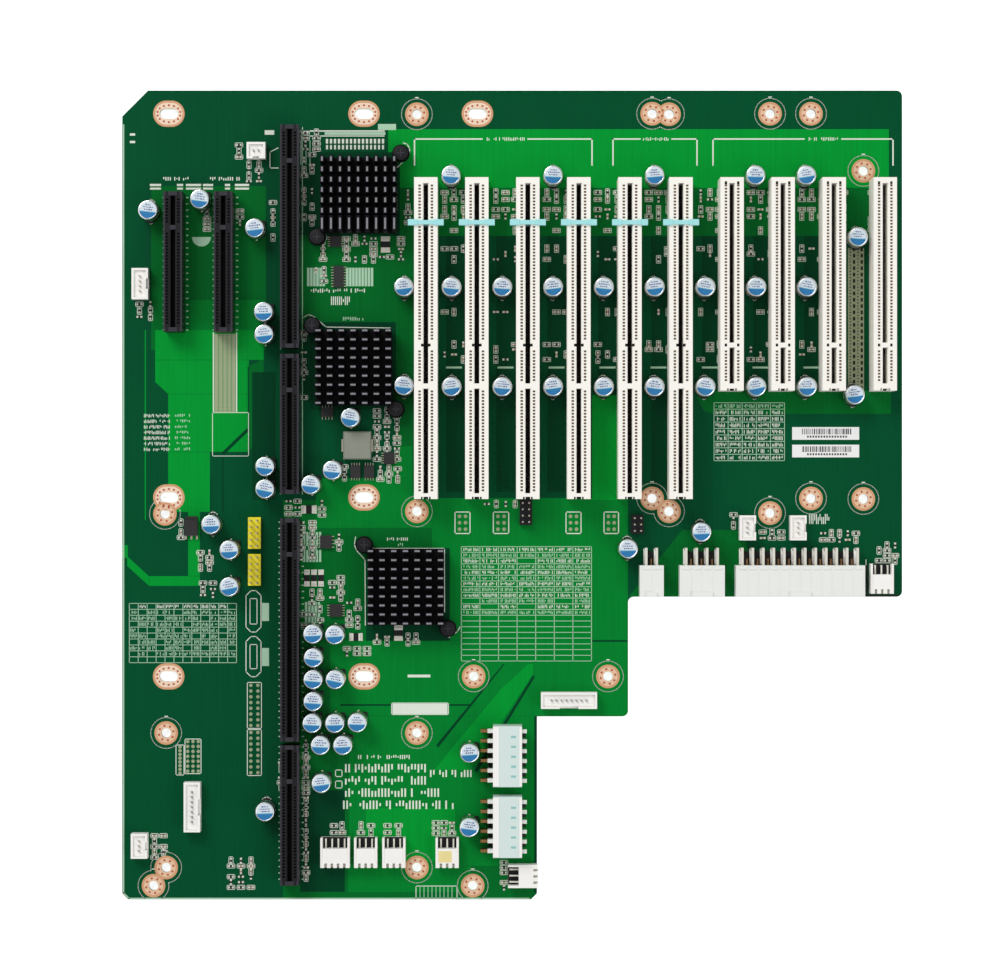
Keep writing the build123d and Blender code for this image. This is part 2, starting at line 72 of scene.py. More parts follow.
class Nodes:
    """A short way to add and wire shader nodes."""

    def __init__(self, name):
        self.material = bpy.data.materials.new(name)
        self.material.use_nodes = True
        self.tree = self.material.node_tree
        self.shader = self.tree.nodes["Principled BSDF"]
        self.where = self.add("ShaderNodeTexCoord").outputs["Object"]

    def add(self, kind, inputs=(), **settings):
        node = self.tree.nodes.new(kind)
        for key, value in settings.items():
            setattr(node, key, value)
        for key, value in dict(inputs).items():
            self.put(node.inputs[key], value)
        return node

    def put(self, socket, value):
        if isinstance(value, bpy.types.NodeSocket):
            self.tree.links.new(value, socket)
        else:
            socket.default_value = value

    def set(self, name, value):
        self.put(self.shader.inputs[name], value)

    def math(self, operation, a, b):
        return self.add("ShaderNodeMath", {0: a, 1: b}, operation=operation).outputs[0]

    def mix(self, factor, a, b, kind="MIX"):
        node = self.add("ShaderNodeMix", data_type="RGBA", blend_type=kind)
        for index, value in ((0, factor), (6, a), (7, b)):
            self.put(node.inputs[index], value)
        return node.outputs[2]

    def noise(self, scale, detail=3.0):
        values = {"Vector": self.where, "Scale": scale, "Detail": detail}
        return self.add("ShaderNodeTexNoise", values).outputs["Fac"]

    def span(self, value, low, high):
        return self.add("ShaderNodeMapRange", {"Value": value, "To Min": low, "To Max": high}).outputs[0]

    def bump(self, height, strength, distance):
        values = {"Height": height, "Strength": strength, "Distance": distance}
        self.set("Normal", self.add("ShaderNodeBump", values).outputs[0])


def moulded(name, colour, roughness=0.42, grain=900.0, mottle=0.08, specular=0.45):
    """Injection-moulded plastic: slight flow mottling, a fine grain and uneven gloss."""
    n = Nodes(name)
    base = linear(colour)
    shade = tuple(c * (1 - 2.2 * mottle) for c in base[:3]) + (1.0,)
    n.set("Base Color", n.mix(n.span(n.noise(160.0), 0.0, 0.9), base, shade))
    n.set("Roughness", n.span(n.noise(420.0), roughness - 0.08, roughness + 0.12))
    n.set("Specular IOR Level", specular)
    n.bump(n.noise(grain, 2.0), 0.12, 0.00005)
    return n.material


def metal(name, colour, roughness):
    """Plated or drawn metal with fine handling marks."""
    n = Nodes(name)
    base = linear(colour)
    dull = tuple(c * 0.78 for c in base[:3]) + (1.0,)
    n.set("Base Color", n.mix(n.noise(700.0, 4.0), base, dull))
    n.set("Metallic", 1.0)
    n.set("Roughness", n.span(n.noise(1500.0), roughness - 0.08, roughness + 0.15))
    n.bump(n.noise(2400.0, 2.0), 0.08, 0.00003)
    return n.material


def printed(name, colour, roughness=0.6):
    """Screen-printed ink or paper: nearly even, a little thin in places."""
    n = Nodes(name)
    base = linear(colour)
    thin = tuple(c * 0.8 for c in base[:3]) + (1.0,)
    n.set("Base Color", n.mix(n.span(n.noise(1900.0), 0.0, 0.7), base, thin))
    n.set("Roughness", roughness)
    n.bump(n.noise(2600.0), 0.15, 0.00002)
    return n.material


def band(x0, y0, x1, y1):
    return [(x0, y0), (x0, y1), (x1, y1), (x1, y0)]


def inside(n, points):
    """A mask that is 1 inside a convex outline in photo pixels: a list of points, or a tuple for a box."""
    soft = 0.00012
    level = None
    corners = [at_pixel(*p) for p in (band(*points) if isinstance(points, tuple) else points)]
    area = sum(a[0] * b[1] - b[0] * a[1] for a, b in zip(corners, corners[1:] + corners[:1]))
    if area < 0:
        corners.reverse()
    for a, b in zip(corners, corners[1:] + corners[:1]):
        length = math.dist(a, b)
        inward = ((a[1] - b[1]) / length, (b[0] - a[0]) / length, 0.0)
        start = (inward[0] * a[0] + inward[1] * a[1]) * MM
        along = n.add("ShaderNodeVectorMath", {0: n.where, 1: inward}, operation="DOT_PRODUCT")
        depth = n.math("SUBTRACT", along.outputs["Value"], start)
        level = depth if level is None else n.math("MINIMUM", level, depth)
    steep = n.math("MULTIPLY", level, 1 / soft)
    return n.add("ShaderNodeClamp", {"Value": steep}).outputs[0]


# Copper under the mask, as boxes and outlines in photo pixels: pours in three tints, then thin gaps in the
# copper and painted shade between the card slots and round the heatsinks
MID_POURS = [
    (151, 186, 266, 350), (283, 500, 628, 716), (283, 716, 537, 899), (388, 188, 889, 236),
    [(628, 520), (690, 520), (706, 500), (738, 500), (744, 530), (872, 530), (872, 597), (628, 597)],
    (713, 390, 891, 414), (300, 235, 414, 330), (452, 498, 628, 548), (396, 330, 414, 492),
    [(249, 366), (264, 358), (264, 436), (249, 451)], [(696, 396), (713, 396), (713, 414), (704, 411)],
]
CENTRE_POURS = [
    (316, 478, 412, 528), [(398, 446), (412, 446), (412, 478), (382, 478)], (412, 492, 432, 528),
    (432, 498, 628, 640), (330, 640, 628, 716), (349, 716, 486, 866), (486, 716, 537, 866),
    (190, 300, 264, 340), (348, 866, 471, 892),
]
BRIGHT_POURS = [
    (388, 129, 889, 188), (155, 330, 264, 360), [(155, 360), (155, 382), (168, 394), (249, 394), (249, 360)],
    (168, 394, 248, 452), (168, 452, 210, 512), (592, 395, 617, 500), (366, 808, 455, 862),
    [(470, 770), (434, 770), (500, 690), (528, 664), (533, 664), (533, 674)],
    [(127, 556), (149, 576), (149, 586), (127, 566)], (149, 576, 200, 586), (188, 500, 200, 576),
    (122.6, 330, 124, 560), (144.6, 330, 146, 520), (120, 545, 128, 558),
]
# Darker: thin gaps in the copper, and painted shade in the lanes between the card slots and round the
# heatsinks
GAPS_AND_PAINTED_SHADE = [
    (446, 236, 474, 492), (496, 236, 524, 492), (547, 236, 575, 492), (651, 236, 676, 492),
    (702, 236, 727, 390), (753, 236, 778, 390), (804, 236, 828, 390), (598, 236, 625, 395),
    (252, 372, 276, 500), (366, 548, 450, 641), (310, 152, 400, 236), (310, 322, 396, 410),
    [(247, 428), (222, 452), (224, 455), (250, 430)], (247.6, 366, 249, 430), (222, 452, 224, 512),
    (340, 704, 392, 706), (448, 704, 470, 706), [(474, 770), (533, 675), (535, 677), (477, 773)],
    (592, 640, 628, 642), (300, 790, 345, 892), [(436, 745), (503, 664), (505, 664), (438, 748)],
    (534, 716, 538, 892), (210, 478, 211.5, 512),
]


def solder_mask():
    """Green mask over copper: pours read lighter; gaps in the copper, and painted shade between the card
    slots and round the heatsinks, read darker; with faint traces and a satin gloss.
    """
    n = Nodes("solder mask")
    colour = n.mix(n.noise(14.0, 2.0), linear((0, 72, 41)), linear((0, 84, 48)))
    for outlines, tint in (
        (MID_POURS, (0, 106, 40)), (CENTRE_POURS, (0, 128, 46)), (BRIGHT_POURS, (0, 150, 50)),
        (GAPS_AND_PAINTED_SHADE, (0, 64, 36)),
    ):
        cover = None
        for outline in outlines:
            mask = inside(n, outline)
            cover = mask if cover is None else n.math("MAXIMUM", cover, mask)
        colour = n.mix(cover, colour, linear(tint))
    # Fine traces run along Y and show as faint stripes through the mask
    stretch = n.add("ShaderNodeMapping", {"Vector": n.where, "Scale": (1.0, 0.02, 1.0)})
    stripes = n.add("ShaderNodeTexNoise", {"Vector": stretch.outputs[0], "Scale": 1600.0, "Detail": 1.0})
    trace = n.span(stripes.outputs["Fac"], 0.86, 1.12)
    tone = n.add("ShaderNodeCombineXYZ", {0: trace, 1: trace, 2: trace})
    n.set("Base Color", n.mix(1.0, colour, tone.outputs[0], "MULTIPLY"))
    n.set("Roughness", n.span(n.noise(90.0), 0.3, 0.45))
    n.set("Specular IOR Level", 0.06)
    n.bump(stripes.outputs["Fac"], 0.1, 0.00003)
    return n.material


ink = printed("silk ink", (232, 240, 226))
faded_ink = printed("fine silk ink", (176, 216, 184))
mask = solder_mask()
ivory = moulded("ivory housing", (255, 252, 244), 0.45, mottle=0.02)
# Darker ivory: painted shade on the floors of the contact cells
shadow_ivory = moulded("painted cell floor shade", (196, 172, 160), 0.6)
black = moulded("black housing", (20, 19, 24), 0.36, specular=0.3)
# Lighter, glossier black: a painted highlight on top rims and crests, also used for the lane contacts
black_highlight = moulded("black housing painted highlight", (48, 47, 56), 0.3, specular=0.4)
# Near-black painted shade, laid in deep grooves, notches, wells, gaps between leads and open holes
painted_shade = moulded("painted cavity shade", (12, 9, 9), 0.7)
cyan = moulded("light blue nylon", (168, 232, 234), 0.4, mottle=0.02)
anodised = moulded("black anodised fins", (9, 8, 13), 0.5, 1600.0, specular=0.12)
# Grey: a painted highlight on the tops of the black fins
fin_top_highlight = moulded("painted fin top highlight", (138, 138, 146), 0.42, 1600.0)
gold = metal("gilt contact", (188, 150, 110), 0.35)
tin = metal("tinned lead", (214, 206, 190), 0.35)
solder = printed("bright solder", (232, 230, 218), 0.35)
bronze = metal("bronze lead", (170, 128, 84), 0.4)
copper = metal("plated land", (250, 208, 172), 0.42)
copper_face = printed("gilt land face", (250, 222, 196), 0.4)
copper_rim = printed("land rim", (220, 164, 122), 0.4)
copper_mid = printed("round land face", (238, 200, 166), 0.4)
rust_dot = printed("via mouth", (186, 92, 62), 0.5)
can_metal = metal("drawn can", (236, 240, 244), 0.26)
can_face = printed("can lacquer", (222, 236, 244), 0.35)
can_mark = printed("can stripe", (34, 122, 182), 0.35)
can_pale = printed("can stripe edge", (130, 190, 214), 0.35)
can_print = printed("can print", (96, 108, 160), 0.4)
grey_nylon = moulded("grey nylon", (240, 242, 238), 0.4, mottle=0.02)
blue_nylon = moulded("pale nylon", (218, 234, 230), 0.38, mottle=0.02)
teal_mark = printed("teal moulding mark", (150, 204, 200), 0.45)
white_nylon = moulded("white nylon", (252, 250, 246), 0.42, mottle=0.02)
yellow = moulded("yellow insulator", (255, 238, 44), 0.4)
yellow_cream = moulded("cream nylon", (250, 232, 160), 0.42)
resin = moulded("chip resin", (34, 32, 34), 0.5)
ferrite = moulded("pressed ferrite", (142, 146, 132), 0.55, 700.0)
tan = moulded("ceramic body", (170, 150, 128), 0.5)
paper = printed("label stock", (250, 250, 248), 0.55)
barcode = printed("label print", (70, 66, 74), 0.6)
khaki = printed("bare tinned pads", (160, 170, 134), 0.45)


QUAD = [[0, 1, 2, 3]]


class Shape:
    """Collects faces in millimetres, each with a material, and makes one mesh piece of them."""

    def __init__(self):
        self.points = []
        self.faces = []
        self.slots = []
        self.materials = []
        self.place = Matrix.Identity(4)

    def at(self, x, y, turn=0.0):
        self.place = Matrix.Translation((x, y, 0)) @ Matrix.Rotation(math.radians(turn), 4, "Z")
        return self

    def add(self, points, faces, material):
        if material not in self.materials:
            self.materials.append(material)
        start = len(self.points)
        self.points += [self.place @ Vector(p) for p in points]
        self.faces += [[start + i for i in f] for f in faces]
        self.slots += [self.materials.index(material)] * len(faces)

    def skin(self, loops, material, wrap=False):
        """Quads between level loops, each an outline and a height; the ends are capped unless they wrap."""
        count = len(loops[0][0])
        last = count * (len(loops) - 1)
        faces = [] if wrap else [list(range(count))[::-1], list(range(last, last + count))]
        around = [(i, (i + 1) % count) for i in range(count)]
        for k in range(len(loops) if wrap else len(loops) - 1):
            low, high = k * count, (k + 1) % len(loops) * count
            faces += [[low + i, low + j, high + j, high + i] for i, j in around]
        self.add([(x, y, z) for outline, z in loops for x, y in outline], faces, material)

    def prism(self, outline, z0, z1, material):
        self.skin([(outline, z0), (outline, z1)], material)

    def box(self, x0, x1, y0, y1, z0, z1, material):
        self.prism([(x0, y0), (x1, y0), (x1, y1), (x0, y1)], z0, z1, material)

    def block(self, x, y, width, depth, z0, z1, material):
        self.box(x - width / 2, x + width / 2, y - depth / 2, y + depth / 2, z0, z1, material)

    def lathe(self, profile, material, segments):
        """A closed turned form about the own axis: radius and height of each ring, from the bottom up."""
        self.skin([(circle(0, 0, r, segments), z) for r, z in profile], material)

    def ring(self, outer, inner, z0, z1, material):
        """A flat band between two outlines that have as many points each."""
        self.skin([(outer, z0), (outer, z1), (inner, z1), (inner, z0)], material, True)

    def terrace(self, xs, ys, height, floor, material, crown=None):
        """One closed solid over a grid, with a flat top at height(column, row) in each cell."""
        levels = {(i, j): height(i, j) for i in range(len(xs) - 1) for j in range(len(ys) - 1)}
        for (i, j), z in levels.items():
            if z <= floor:
                continue
            foot = band(xs[i], ys[j], xs[i + 1], ys[j + 1])
            top = foot[:1] + foot[:0:-1]
            self.add([(x, y, z) for x, y in top], QUAD, (crown(z) if crown else None) or material)
            self.add([(x, y, floor) for x, y in foot], QUAD, material)
            for k, (di, dj) in enumerate(((0, -1), (1, 0), (0, 1), (-1, 0))):
                low = max(levels.get((i + di, j + dj), floor), floor)
                if low < z:
                    a, b = top[k], top[(k + 1) % 4]
                    self.add([(*a, low), (*b, low), (*b, z), (*a, z)], QUAD, material)

    def strip(self, points, width, z0, z1, material, closed=False):
        """A drawn line: a flat bar along each run of points, half a width longer at both ends."""
        for a, b in list(zip(points, points[1:])) + ([(points[-1], points[0])] if closed else []):
            length = math.dist(a, b)
            ux, uy = ((b[k] - a[k]) / length * width / 2 for k in (0, 1))
            a, b = (a[0] - ux, a[1] - uy), (b[0] + ux, b[1] + uy)
            corners = ((a, 1), (b, 1), (b, -1), (a, -1))
            self.prism([(p[0] + side * uy, p[1] - side * ux) for p, side in corners], z0, z1, material)

    def make(self, name, slot, bevel=0.0, smooth=False, replaces=()):
        mesh = bpy.data.meshes.new(name)
        mesh.from_pydata([p * MM for p in self.points], [], self.faces)
        for material in self.materials:
            mesh.materials.append(material)
        mesh.polygons.foreach_set("material_index", self.slots)
        work = bmesh.new()
        work.from_mesh(mesh)
        bmesh.ops.remove_doubles(work, verts=work.verts, dist=1e-7)
        work.to_mesh(mesh)
        work.free()
        if smooth:
            mesh.shade_smooth()
            mesh.set_sharp_from_angle(angle=math.radians(32))
        piece = bpy.data.objects.new(name, mesh)
        bpy.context.scene.collection.objects.link(piece)
        if bevel:
            rounding = piece.modifiers.new("soft edges", "BEVEL")
            rounding.width = bevel * MM
            rounding.segments = 2
            rounding.limit_method = "ANGLE"
            rounding.angle_limit = math.radians(50)
        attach(piece, "root")
        if replaces:
            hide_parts(*replaces)


def circle(x, y, radius, count=48):
    angles = [2 * math.pi * i / count for i in range(count)]
    return [(x + radius * math.cos(a), y + radius * math.sin(a)) for a in angles]


def stadium(x, y, length, width, count=48):
    """A slot's outline, along X."""
    points = []
    for i in range(count):
        angle = 2 * math.pi * (i + 0.5) / count - math.pi / 2
        side = (length - width) / (2 if i < count / 2 else -2)
        points.append((x + side + width / 2 * math.cos(angle), y + width / 2 * math.sin(angle)))
    return points


def node_span(node):
    """A CAD node's box in millimetres: x0, x1, y0, y1, z0, z1."""
    low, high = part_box(node)
    return low[0] / MM, high[0] / MM, low[1] / MM, high[1] / MM, low[2] / MM, high[2] / MM


def dress(node, material):
    """A CAD node whose form is right gets its finish."""
    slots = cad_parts[node].material_slots
    for entry in slots:
        entry.material = material


# Print on the board, gathered as it is drawn
silk = Shape()
fine_silk = Shape()
SILK_Z = (TOP, TOP + 0.03)


# Copper lands round the holes
FILM = 0.05
VIA_TOP = TOP + 0.08
LAND_RADIUS = 4.75
FACE_RADIUS = 3.8
ROUND_HOLE = 1.9
SLOT_LAND = (12.7, 10.6)
SLOT_FACE = (10.9, 8.8)
SLOT_HOLE = (7.3, 4.0)
RING_RADIUS = 6.2
RING_WIDTH = 0.3
# Vias of a land: reach along X and along Y, count, phase and radius
SLOT_VIAS = (4.7, 3.4, 14, 0.5, 0.45)
ROUND_VIAS = (3.0, 3.0, 8, 0.3, 0.48)
slotted_holes = [
    (-138.3, 153.6), (-59.7, 153.6), (-138.3, -1.0), (-59.7, -1.0), (-14.0, 153.6), (-138.4, -73.1),
    (-59.6, -73.1),
]
round_holes = [
    (-38.4, 153.4), (63.2, 153.4), (-38.4, -6.6), (63.2, -6.6), (56.4, 153.6), (120.4, 153.6), (56.4, -1.4),
    (120.4, -1.4), (103.9, 153.6), (103.9, -7.3), (141.5, 130.6), (141.5, -1.6), (-139.9, -7.6),
    (-15.5, -73.1), (38.6, -73.1), (-139.4, -95.9), (-38.4, -95.9), (-139.4, -150.1), (-38.4, -150.1),
    (-144.5, -157.4), (-15.9, -157.4),
]


def make_lands():
    """Gilt lands: a darker rim, a bright face with a ring of vias, and a silk ring round the round ones."""
    lands = Shape()
    rings = Shape()
    front_edge = board_low[1] / MM + RING_WIDTH

    def vias(x, y, reach_x, reach_y, count, phase, radius):
        for i in range(count):
            angle = 2 * math.pi * (i + phase) / count
            dot = circle(x + reach_x * math.cos(angle), y + reach_y * math.sin(angle), radius, 10)
            lands.prism(dot, TOP, VIA_TOP, rust_dot)

    for x, y in slotted_holes:
        lands.ring(stadium(x, y, *SLOT_LAND), stadium(x, y, *SLOT_FACE), TOP, TOP + FILM, copper_rim)
        lands.ring(stadium(x, y, *SLOT_FACE), stadium(x, y, *SLOT_HOLE), TOP, TOP + FILM, copper_face)
        vias(x, y, *SLOT_VIAS)
    for k, (x, y) in enumerate(round_holes):
        near = [q for q in round_holes + slotted_holes if 0 < math.dist(q, (x, y)) < 2 * LAND_RADIUS + 6]
        # A land that meets another has a height of its own
        face = TOP + FILM + 0.003 * (k % 5) if near else TOP + FILM
        lands.ring(circle(x, y, LAND_RADIUS), circle(x, y, FACE_RADIUS), TOP, face, copper_rim)
        lands.ring(circle(x, y, FACE_RADIUS), circle(x, y, ROUND_HOLE), TOP, face, copper_mid)
        vias(x, y, *ROUND_VIAS)
        points = circle(x, y, RING_RADIUS, 72)
        for p, q in zip(points, points[1:] + points[:1]):
            clear = all(math.dist(end, other) > RING_RADIUS for other in near for end in (p, q))
            if clear and min(p[1], q[1]) > front_edge:
                rings.strip([p, q], RING_WIDTH, *SILK_Z, ink)
        tick = y + RING_RADIUS + 0.5
        rings.strip([(x - 0.5, tick), (x + 0.5, tick)], 0.4, *SILK_Z, ink)
    lands.make("copper_lands", "tinned_metal")
    rings.make("hole_rings", "paper")


# Slots: the lines across a housing, and the columns between them
ACROSS = [-4.65, -3.2, -2.95, -1.95, -1.25, -0.95, 0.95, 1.25, 1.95, 2.95, 3.2, 4.65]
LANE_ACROSS = [-3.75, -3.05, -2.75, -1.75, -1.2, -0.9, 0.9, 1.2, 1.75, 2.75, 3.05, 3.75]
GROOVE = 5
LIPS = (4, 6)
INNER_WALLS = (3, 7)
CELLS = (2, 8)
OUTER_WALLS = (1, 9)
CELL_PITCH = 1.27
CELL_LENGTH = 0.78
KEY_Y = 59.7
DIVIDER_Y = 43.4
INSERT_Y = 108.5
INSERT_CLEAR = 1.2
KEY_HALF = 0.95
KEY_CLEAR = 1.5
DIVIDER_HALF = 1.0
DIVIDER_CLEAR = 1.3
FRONT_CLEAR = 2.6
END_WALL = 2.3
NOTCH = 0.9
NOTCH_DEPTH = 5.0
MARK = 0.6
MARK_DEPTH = 4.0
REAR_MARK = (-2.9, -1.6)
GROOVE_DEPTH = 10.5
LIP_DEPTH = 0.55
CELL_DEPTH = 2.2
LANE_KEY_INSET = 14.4
LANE_KEY = 0.9
LANE_KEY_CLEAR = 1.6
LANE_END = 1.7
LANE_GROOVE_DEPTH = 7.6
LANE_LIP_DEPTH = 0.6
LANE_CELL_DEPTH = 2.6
LANE_RIM = 0.25
# Contacts of a slot: distance from the middle, size, and how far their foot and tip lie below the rim
CONTACT = (2.4, (0.42, 0.5), (2.2, 0.9))
LANE_CONTACT = (2.15, (0.4, 0.45), (2.5, 1.9))
POST = 2.2
POST_INSET = 5.0
SEAT = TOP + 0.001


def cell_rows(low, high):
    """The y spans of the contact cells that fit between two ends."""
    count = int((high - low) // CELL_PITCH)
    start = (low + high - count * CELL_PITCH) / 2
    middles = [start + (i + 0.5) * CELL_PITCH for i in range(count)]
    return [(y - CELL_LENGTH / 2, y + CELL_LENGTH / 2) for y in middles]


def within(y, spans):
    return any(low < y < high for low, high in spans)


def finish_slot(shape, body, contacts, plating, middle, ends, top, cells, reach, size, drops):
    """The two locating posts of a housing, and a contact on each side of every cell."""
    for y in (ends[0] + POST_INSET, ends[1] - POST_INSET):
        shape.block(middle, y, POST, POST, 0.0, SEAT, body)
    heights = [top - drop for drop in drops]
    for low, high in cells:
        for side in (-1, 1):
            contacts.block(middle + side * reach, (low + high) / 2, *size, *heights, plating)


def make_expansion_slot(node, contacts):
    """Moulded housing with its groove, its two ladders of contact cells, keys and end notches."""
    x0, x1, y0, y1, _, z1 = node_span(node)
    long = y1 - y0 > 100
    middle = (x0 + x1) / 2
    front, rear = y0 + END_WALL, y1 - END_WALL
    stretches = [(KEY_Y + KEY_CLEAR, rear), (DIVIDER_Y + DIVIDER_CLEAR, KEY_Y - KEY_CLEAR)]
    solid = [(DIVIDER_Y - DIVIDER_HALF, DIVIDER_Y + DIVIDER_HALF)]
    if long:
        stretches.append((y0 + FRONT_CLEAR, DIVIDER_Y - DIVIDER_CLEAR))
    else:
        solid.append((KEY_Y - KEY_HALF, KEY_Y + KEY_HALF))
    cells = [span for low, high in stretches for span in cell_rows(low, high)]
    cells = [c for c in cells if not long or abs((c[0] + c[1]) / 2 - INSERT_Y) > INSERT_CLEAR]
    marks = {y0, y1, rear, front, y0 + NOTCH, KEY_Y - MARK, KEY_Y + MARK, *(y1 + m for m in REAR_MARK)}
    marks |= {v for span in cells + solid for v in span}
    ys = sorted(v for v in marks if y0 <= v <= y1)

    def height(i, j):
        y = (ys[j] + ys[j + 1]) / 2
        walled = y > rear or within(y, solid)
        notched = y < y0 + NOTCH
        if i == GROOVE and not walled:
            if y < front:
                return z1 - NOTCH_DEPTH if notched else z1
            return z1 - GROOVE_DEPTH
        if i == GROOVE:
            return z1
        if long and i in LIPS + INNER_WALLS and abs(y - KEY_Y) < MARK:
            return z1 - MARK_DEPTH
        if i in LIPS:
            return z1 if walled or y < front else z1 - LIP_DEPTH
        if i in CELLS:
            if within(y, cells):
                return z1 - CELL_DEPTH
            if not long and (abs(y - KEY_Y) < MARK or within(y - y1, [REAR_MARK])):
                return z1 - MARK_DEPTH
        return z1 - NOTCH_DEPTH if notched and i in INNER_WALLS else z1

    # Painted shade: the cell floors take a darker ivory, and the deep groove, notches and marks go near
    # black
    def crown(z):
        return painted_shade if z < z1 - 3 else shadow_ivory if z < z1 - 2 else None

    shape = Shape()
    shape.terrace([middle + a for a in ACROSS], ys, height, SEAT, ivory, crown)
    finish_slot(shape, ivory, contacts, gold, middle, (y0, y1), z1, cells, *CONTACT)
    shape.make(node.replace("_slot_", "_card_slot_"), "ivory_plastic", replaces=(node,))


def make_lane_slot(node, contacts):
    """Narrow black housing with a raised rim, one key and two ladders of fine contact cells."""
    x0, x1, y0, y1, _, z1 = node_span(node)
    middle = (x0 + x1) / 2
    key = y1 - LANE_KEY_INSET
    cells = cell_rows(y0 + FRONT_CLEAR, key - LANE_KEY_CLEAR)
    cells += cell_rows(key + LANE_KEY_CLEAR, y1 - FRONT_CLEAR)
    marks = {y0, y1, y0 + LANE_END, y1 - LANE_END, key - LANE_KEY, key + LANE_KEY, y0 + 0.7, y1 - 0.7}
    ys = sorted(marks | {v for span in cells for v in span})

    def height(i, j):
        y = (ys[j] + ys[j + 1]) / 2
        ended = y < y0 + LANE_END or y > y1 - LANE_END
        walled = ended or abs(y - key) < LANE_KEY
        if i == GROOVE:
            return z1 if walled else z1 - LANE_GROOVE_DEPTH
        if i in LIPS:
            return z1 if walled else z1 - LANE_LIP_DEPTH
        if i in CELLS:
            return z1 - LANE_CELL_DEPTH if within(y, cells) else z1 - LANE_RIM
        return z1 - LANE_RIM if i in INNER_WALLS + OUTER_WALLS and not ended else z1

    # Painted shade near black at the bottoms of the groove and cells, and a lighter painted highlight on the
    # top rims
    def crown(z):
        return painted_shade if z < z1 - 2 else black_highlight if z > z1 - 0.1 else None

    shape = Shape()
    shape.terrace([middle + a for a in LANE_ACROSS], ys, height, SEAT, black, crown)
    # The lane contacts take the lighter black of the painted highlight
    finish_slot(shape, black, contacts, black_highlight, middle, (y0, y1), z1, cells, *LANE_CONTACT)
    shape.make(node.replace("_slot_", "_lane_connector_"), "black_plastic", replaces=(node,))


def make_slots():
    gilt = Shape()
    plain = Shape()
    for i in range(6):
        make_expansion_slot(f"long_slot_{i + 1}", gilt)
    for i in range(4):
        make_expansion_slot(f"short_slot_{i + 1}", gilt)
        make_lane_slot(f"host_slot_{i + 1}", plain)
    for i in range(2):
        make_lane_slot(f"lane_slot_{i + 1}", plain)
    gilt.make("card_slot_contacts", "tinned_metal")
    plain.make("lane_contacts", "tinned_metal")


INSERT_THICK = 1.5
RAIL_X = 3.9
CLIP = 2.8
BLADE = 1.7


def make_key_inserts():
    """Light blue bar with clipped ends, a saddle over each rail and a blade in the groove."""
    for i in range(6):
        node = f"key_insert_{i + 1}"
        x0, x1, y0, y1, z0, z1 = node_span(node)
        middle, y, broad = (x0 + x1) / 2, (y0 + y1) / 2, y1 - y0
        under = z1 - INSERT_THICK
        shape = Shape()
        shape.box(x0 + 0.8, x1 - 0.8, y0, y1, under, z1 - 0.45, cyan)
        for side in (-1, 1):
            clip = middle + side * (x1 - x0 - CLIP) / 2
            shape.block(clip, y, CLIP, broad + 0.7, under - 1.4, z1 - 0.35, cyan)
            shape.block(middle + side * RAIL_X, y, 1.2, broad + 0.5, under, z1 - 0.1, cyan)
        shape.block(middle, y, BLADE, broad, z0, under, cyan)
        shape.make(f"keying_insert_{i + 1}", "cyan_plastic", bevel=0.15, replaces=(node,))


# Cans: radius and rise of the rings over the foot, then radius and drop of those under the crown
CAN_FOOT = [(3.5, 0.0), (3.85, 0.15), (3.95, 0.9), (3.7, 1.25), (3.7, 1.6), (3.98, 2.0)]
CAN_CROWN = [(3.98, 0.75), (3.9, 0.35), (3.68, 0.08), (3.45, 0.02), (3.3, 0.1)]
CAN_CHORDS = ((-0.45, can_pale, 0.0), (-0.85, can_mark, 0.01))
CAN_PRINT = ((2.0, 1.3), (1.05, 2.2), (0.1, 1.7))
CAN_SIDES = 40
CAN_FACE = 3.28
CAN_EDGE = 3.34
# Bases: half the width, then the corners cut at the sides, the front and the rear
BASE_TURNED = (3.95, 2.7, 1.5, 1.5)
BASE_SQUARE = (3.7, 1.6, 2.2, 0.3)
# Cans on a base turned by 45 degrees, besides all those between the card slots
TURNED = [(-145.6, 114.0), (-120.5, -11.8), (46.3, -21.5), (75.7, -14.8), (-98.9, -126.6)]


def can_places():
    """Centres of the cans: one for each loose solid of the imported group."""
    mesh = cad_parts["capacitor_cans"].data
    keys = [tuple(round(c / MM, 2) for c in v.co) for v in mesh.vertices]
    owner = {key: key for key in keys}

    def root(key):
        while owner[key] != key:
            key = owner[key]
        return key

    for polygon in mesh.polygons:
        first = root(keys[polygon.vertices[0]])
        for index in polygon.vertices[1:]:
            owner[root(keys[index])] = first
    islands = {}
    for key in owner:
        islands.setdefault(root(key), []).append(key)
    return [tuple((min(c) + max(c)) / 2 for c in zip(*members))[:2] for members in islands.values()]


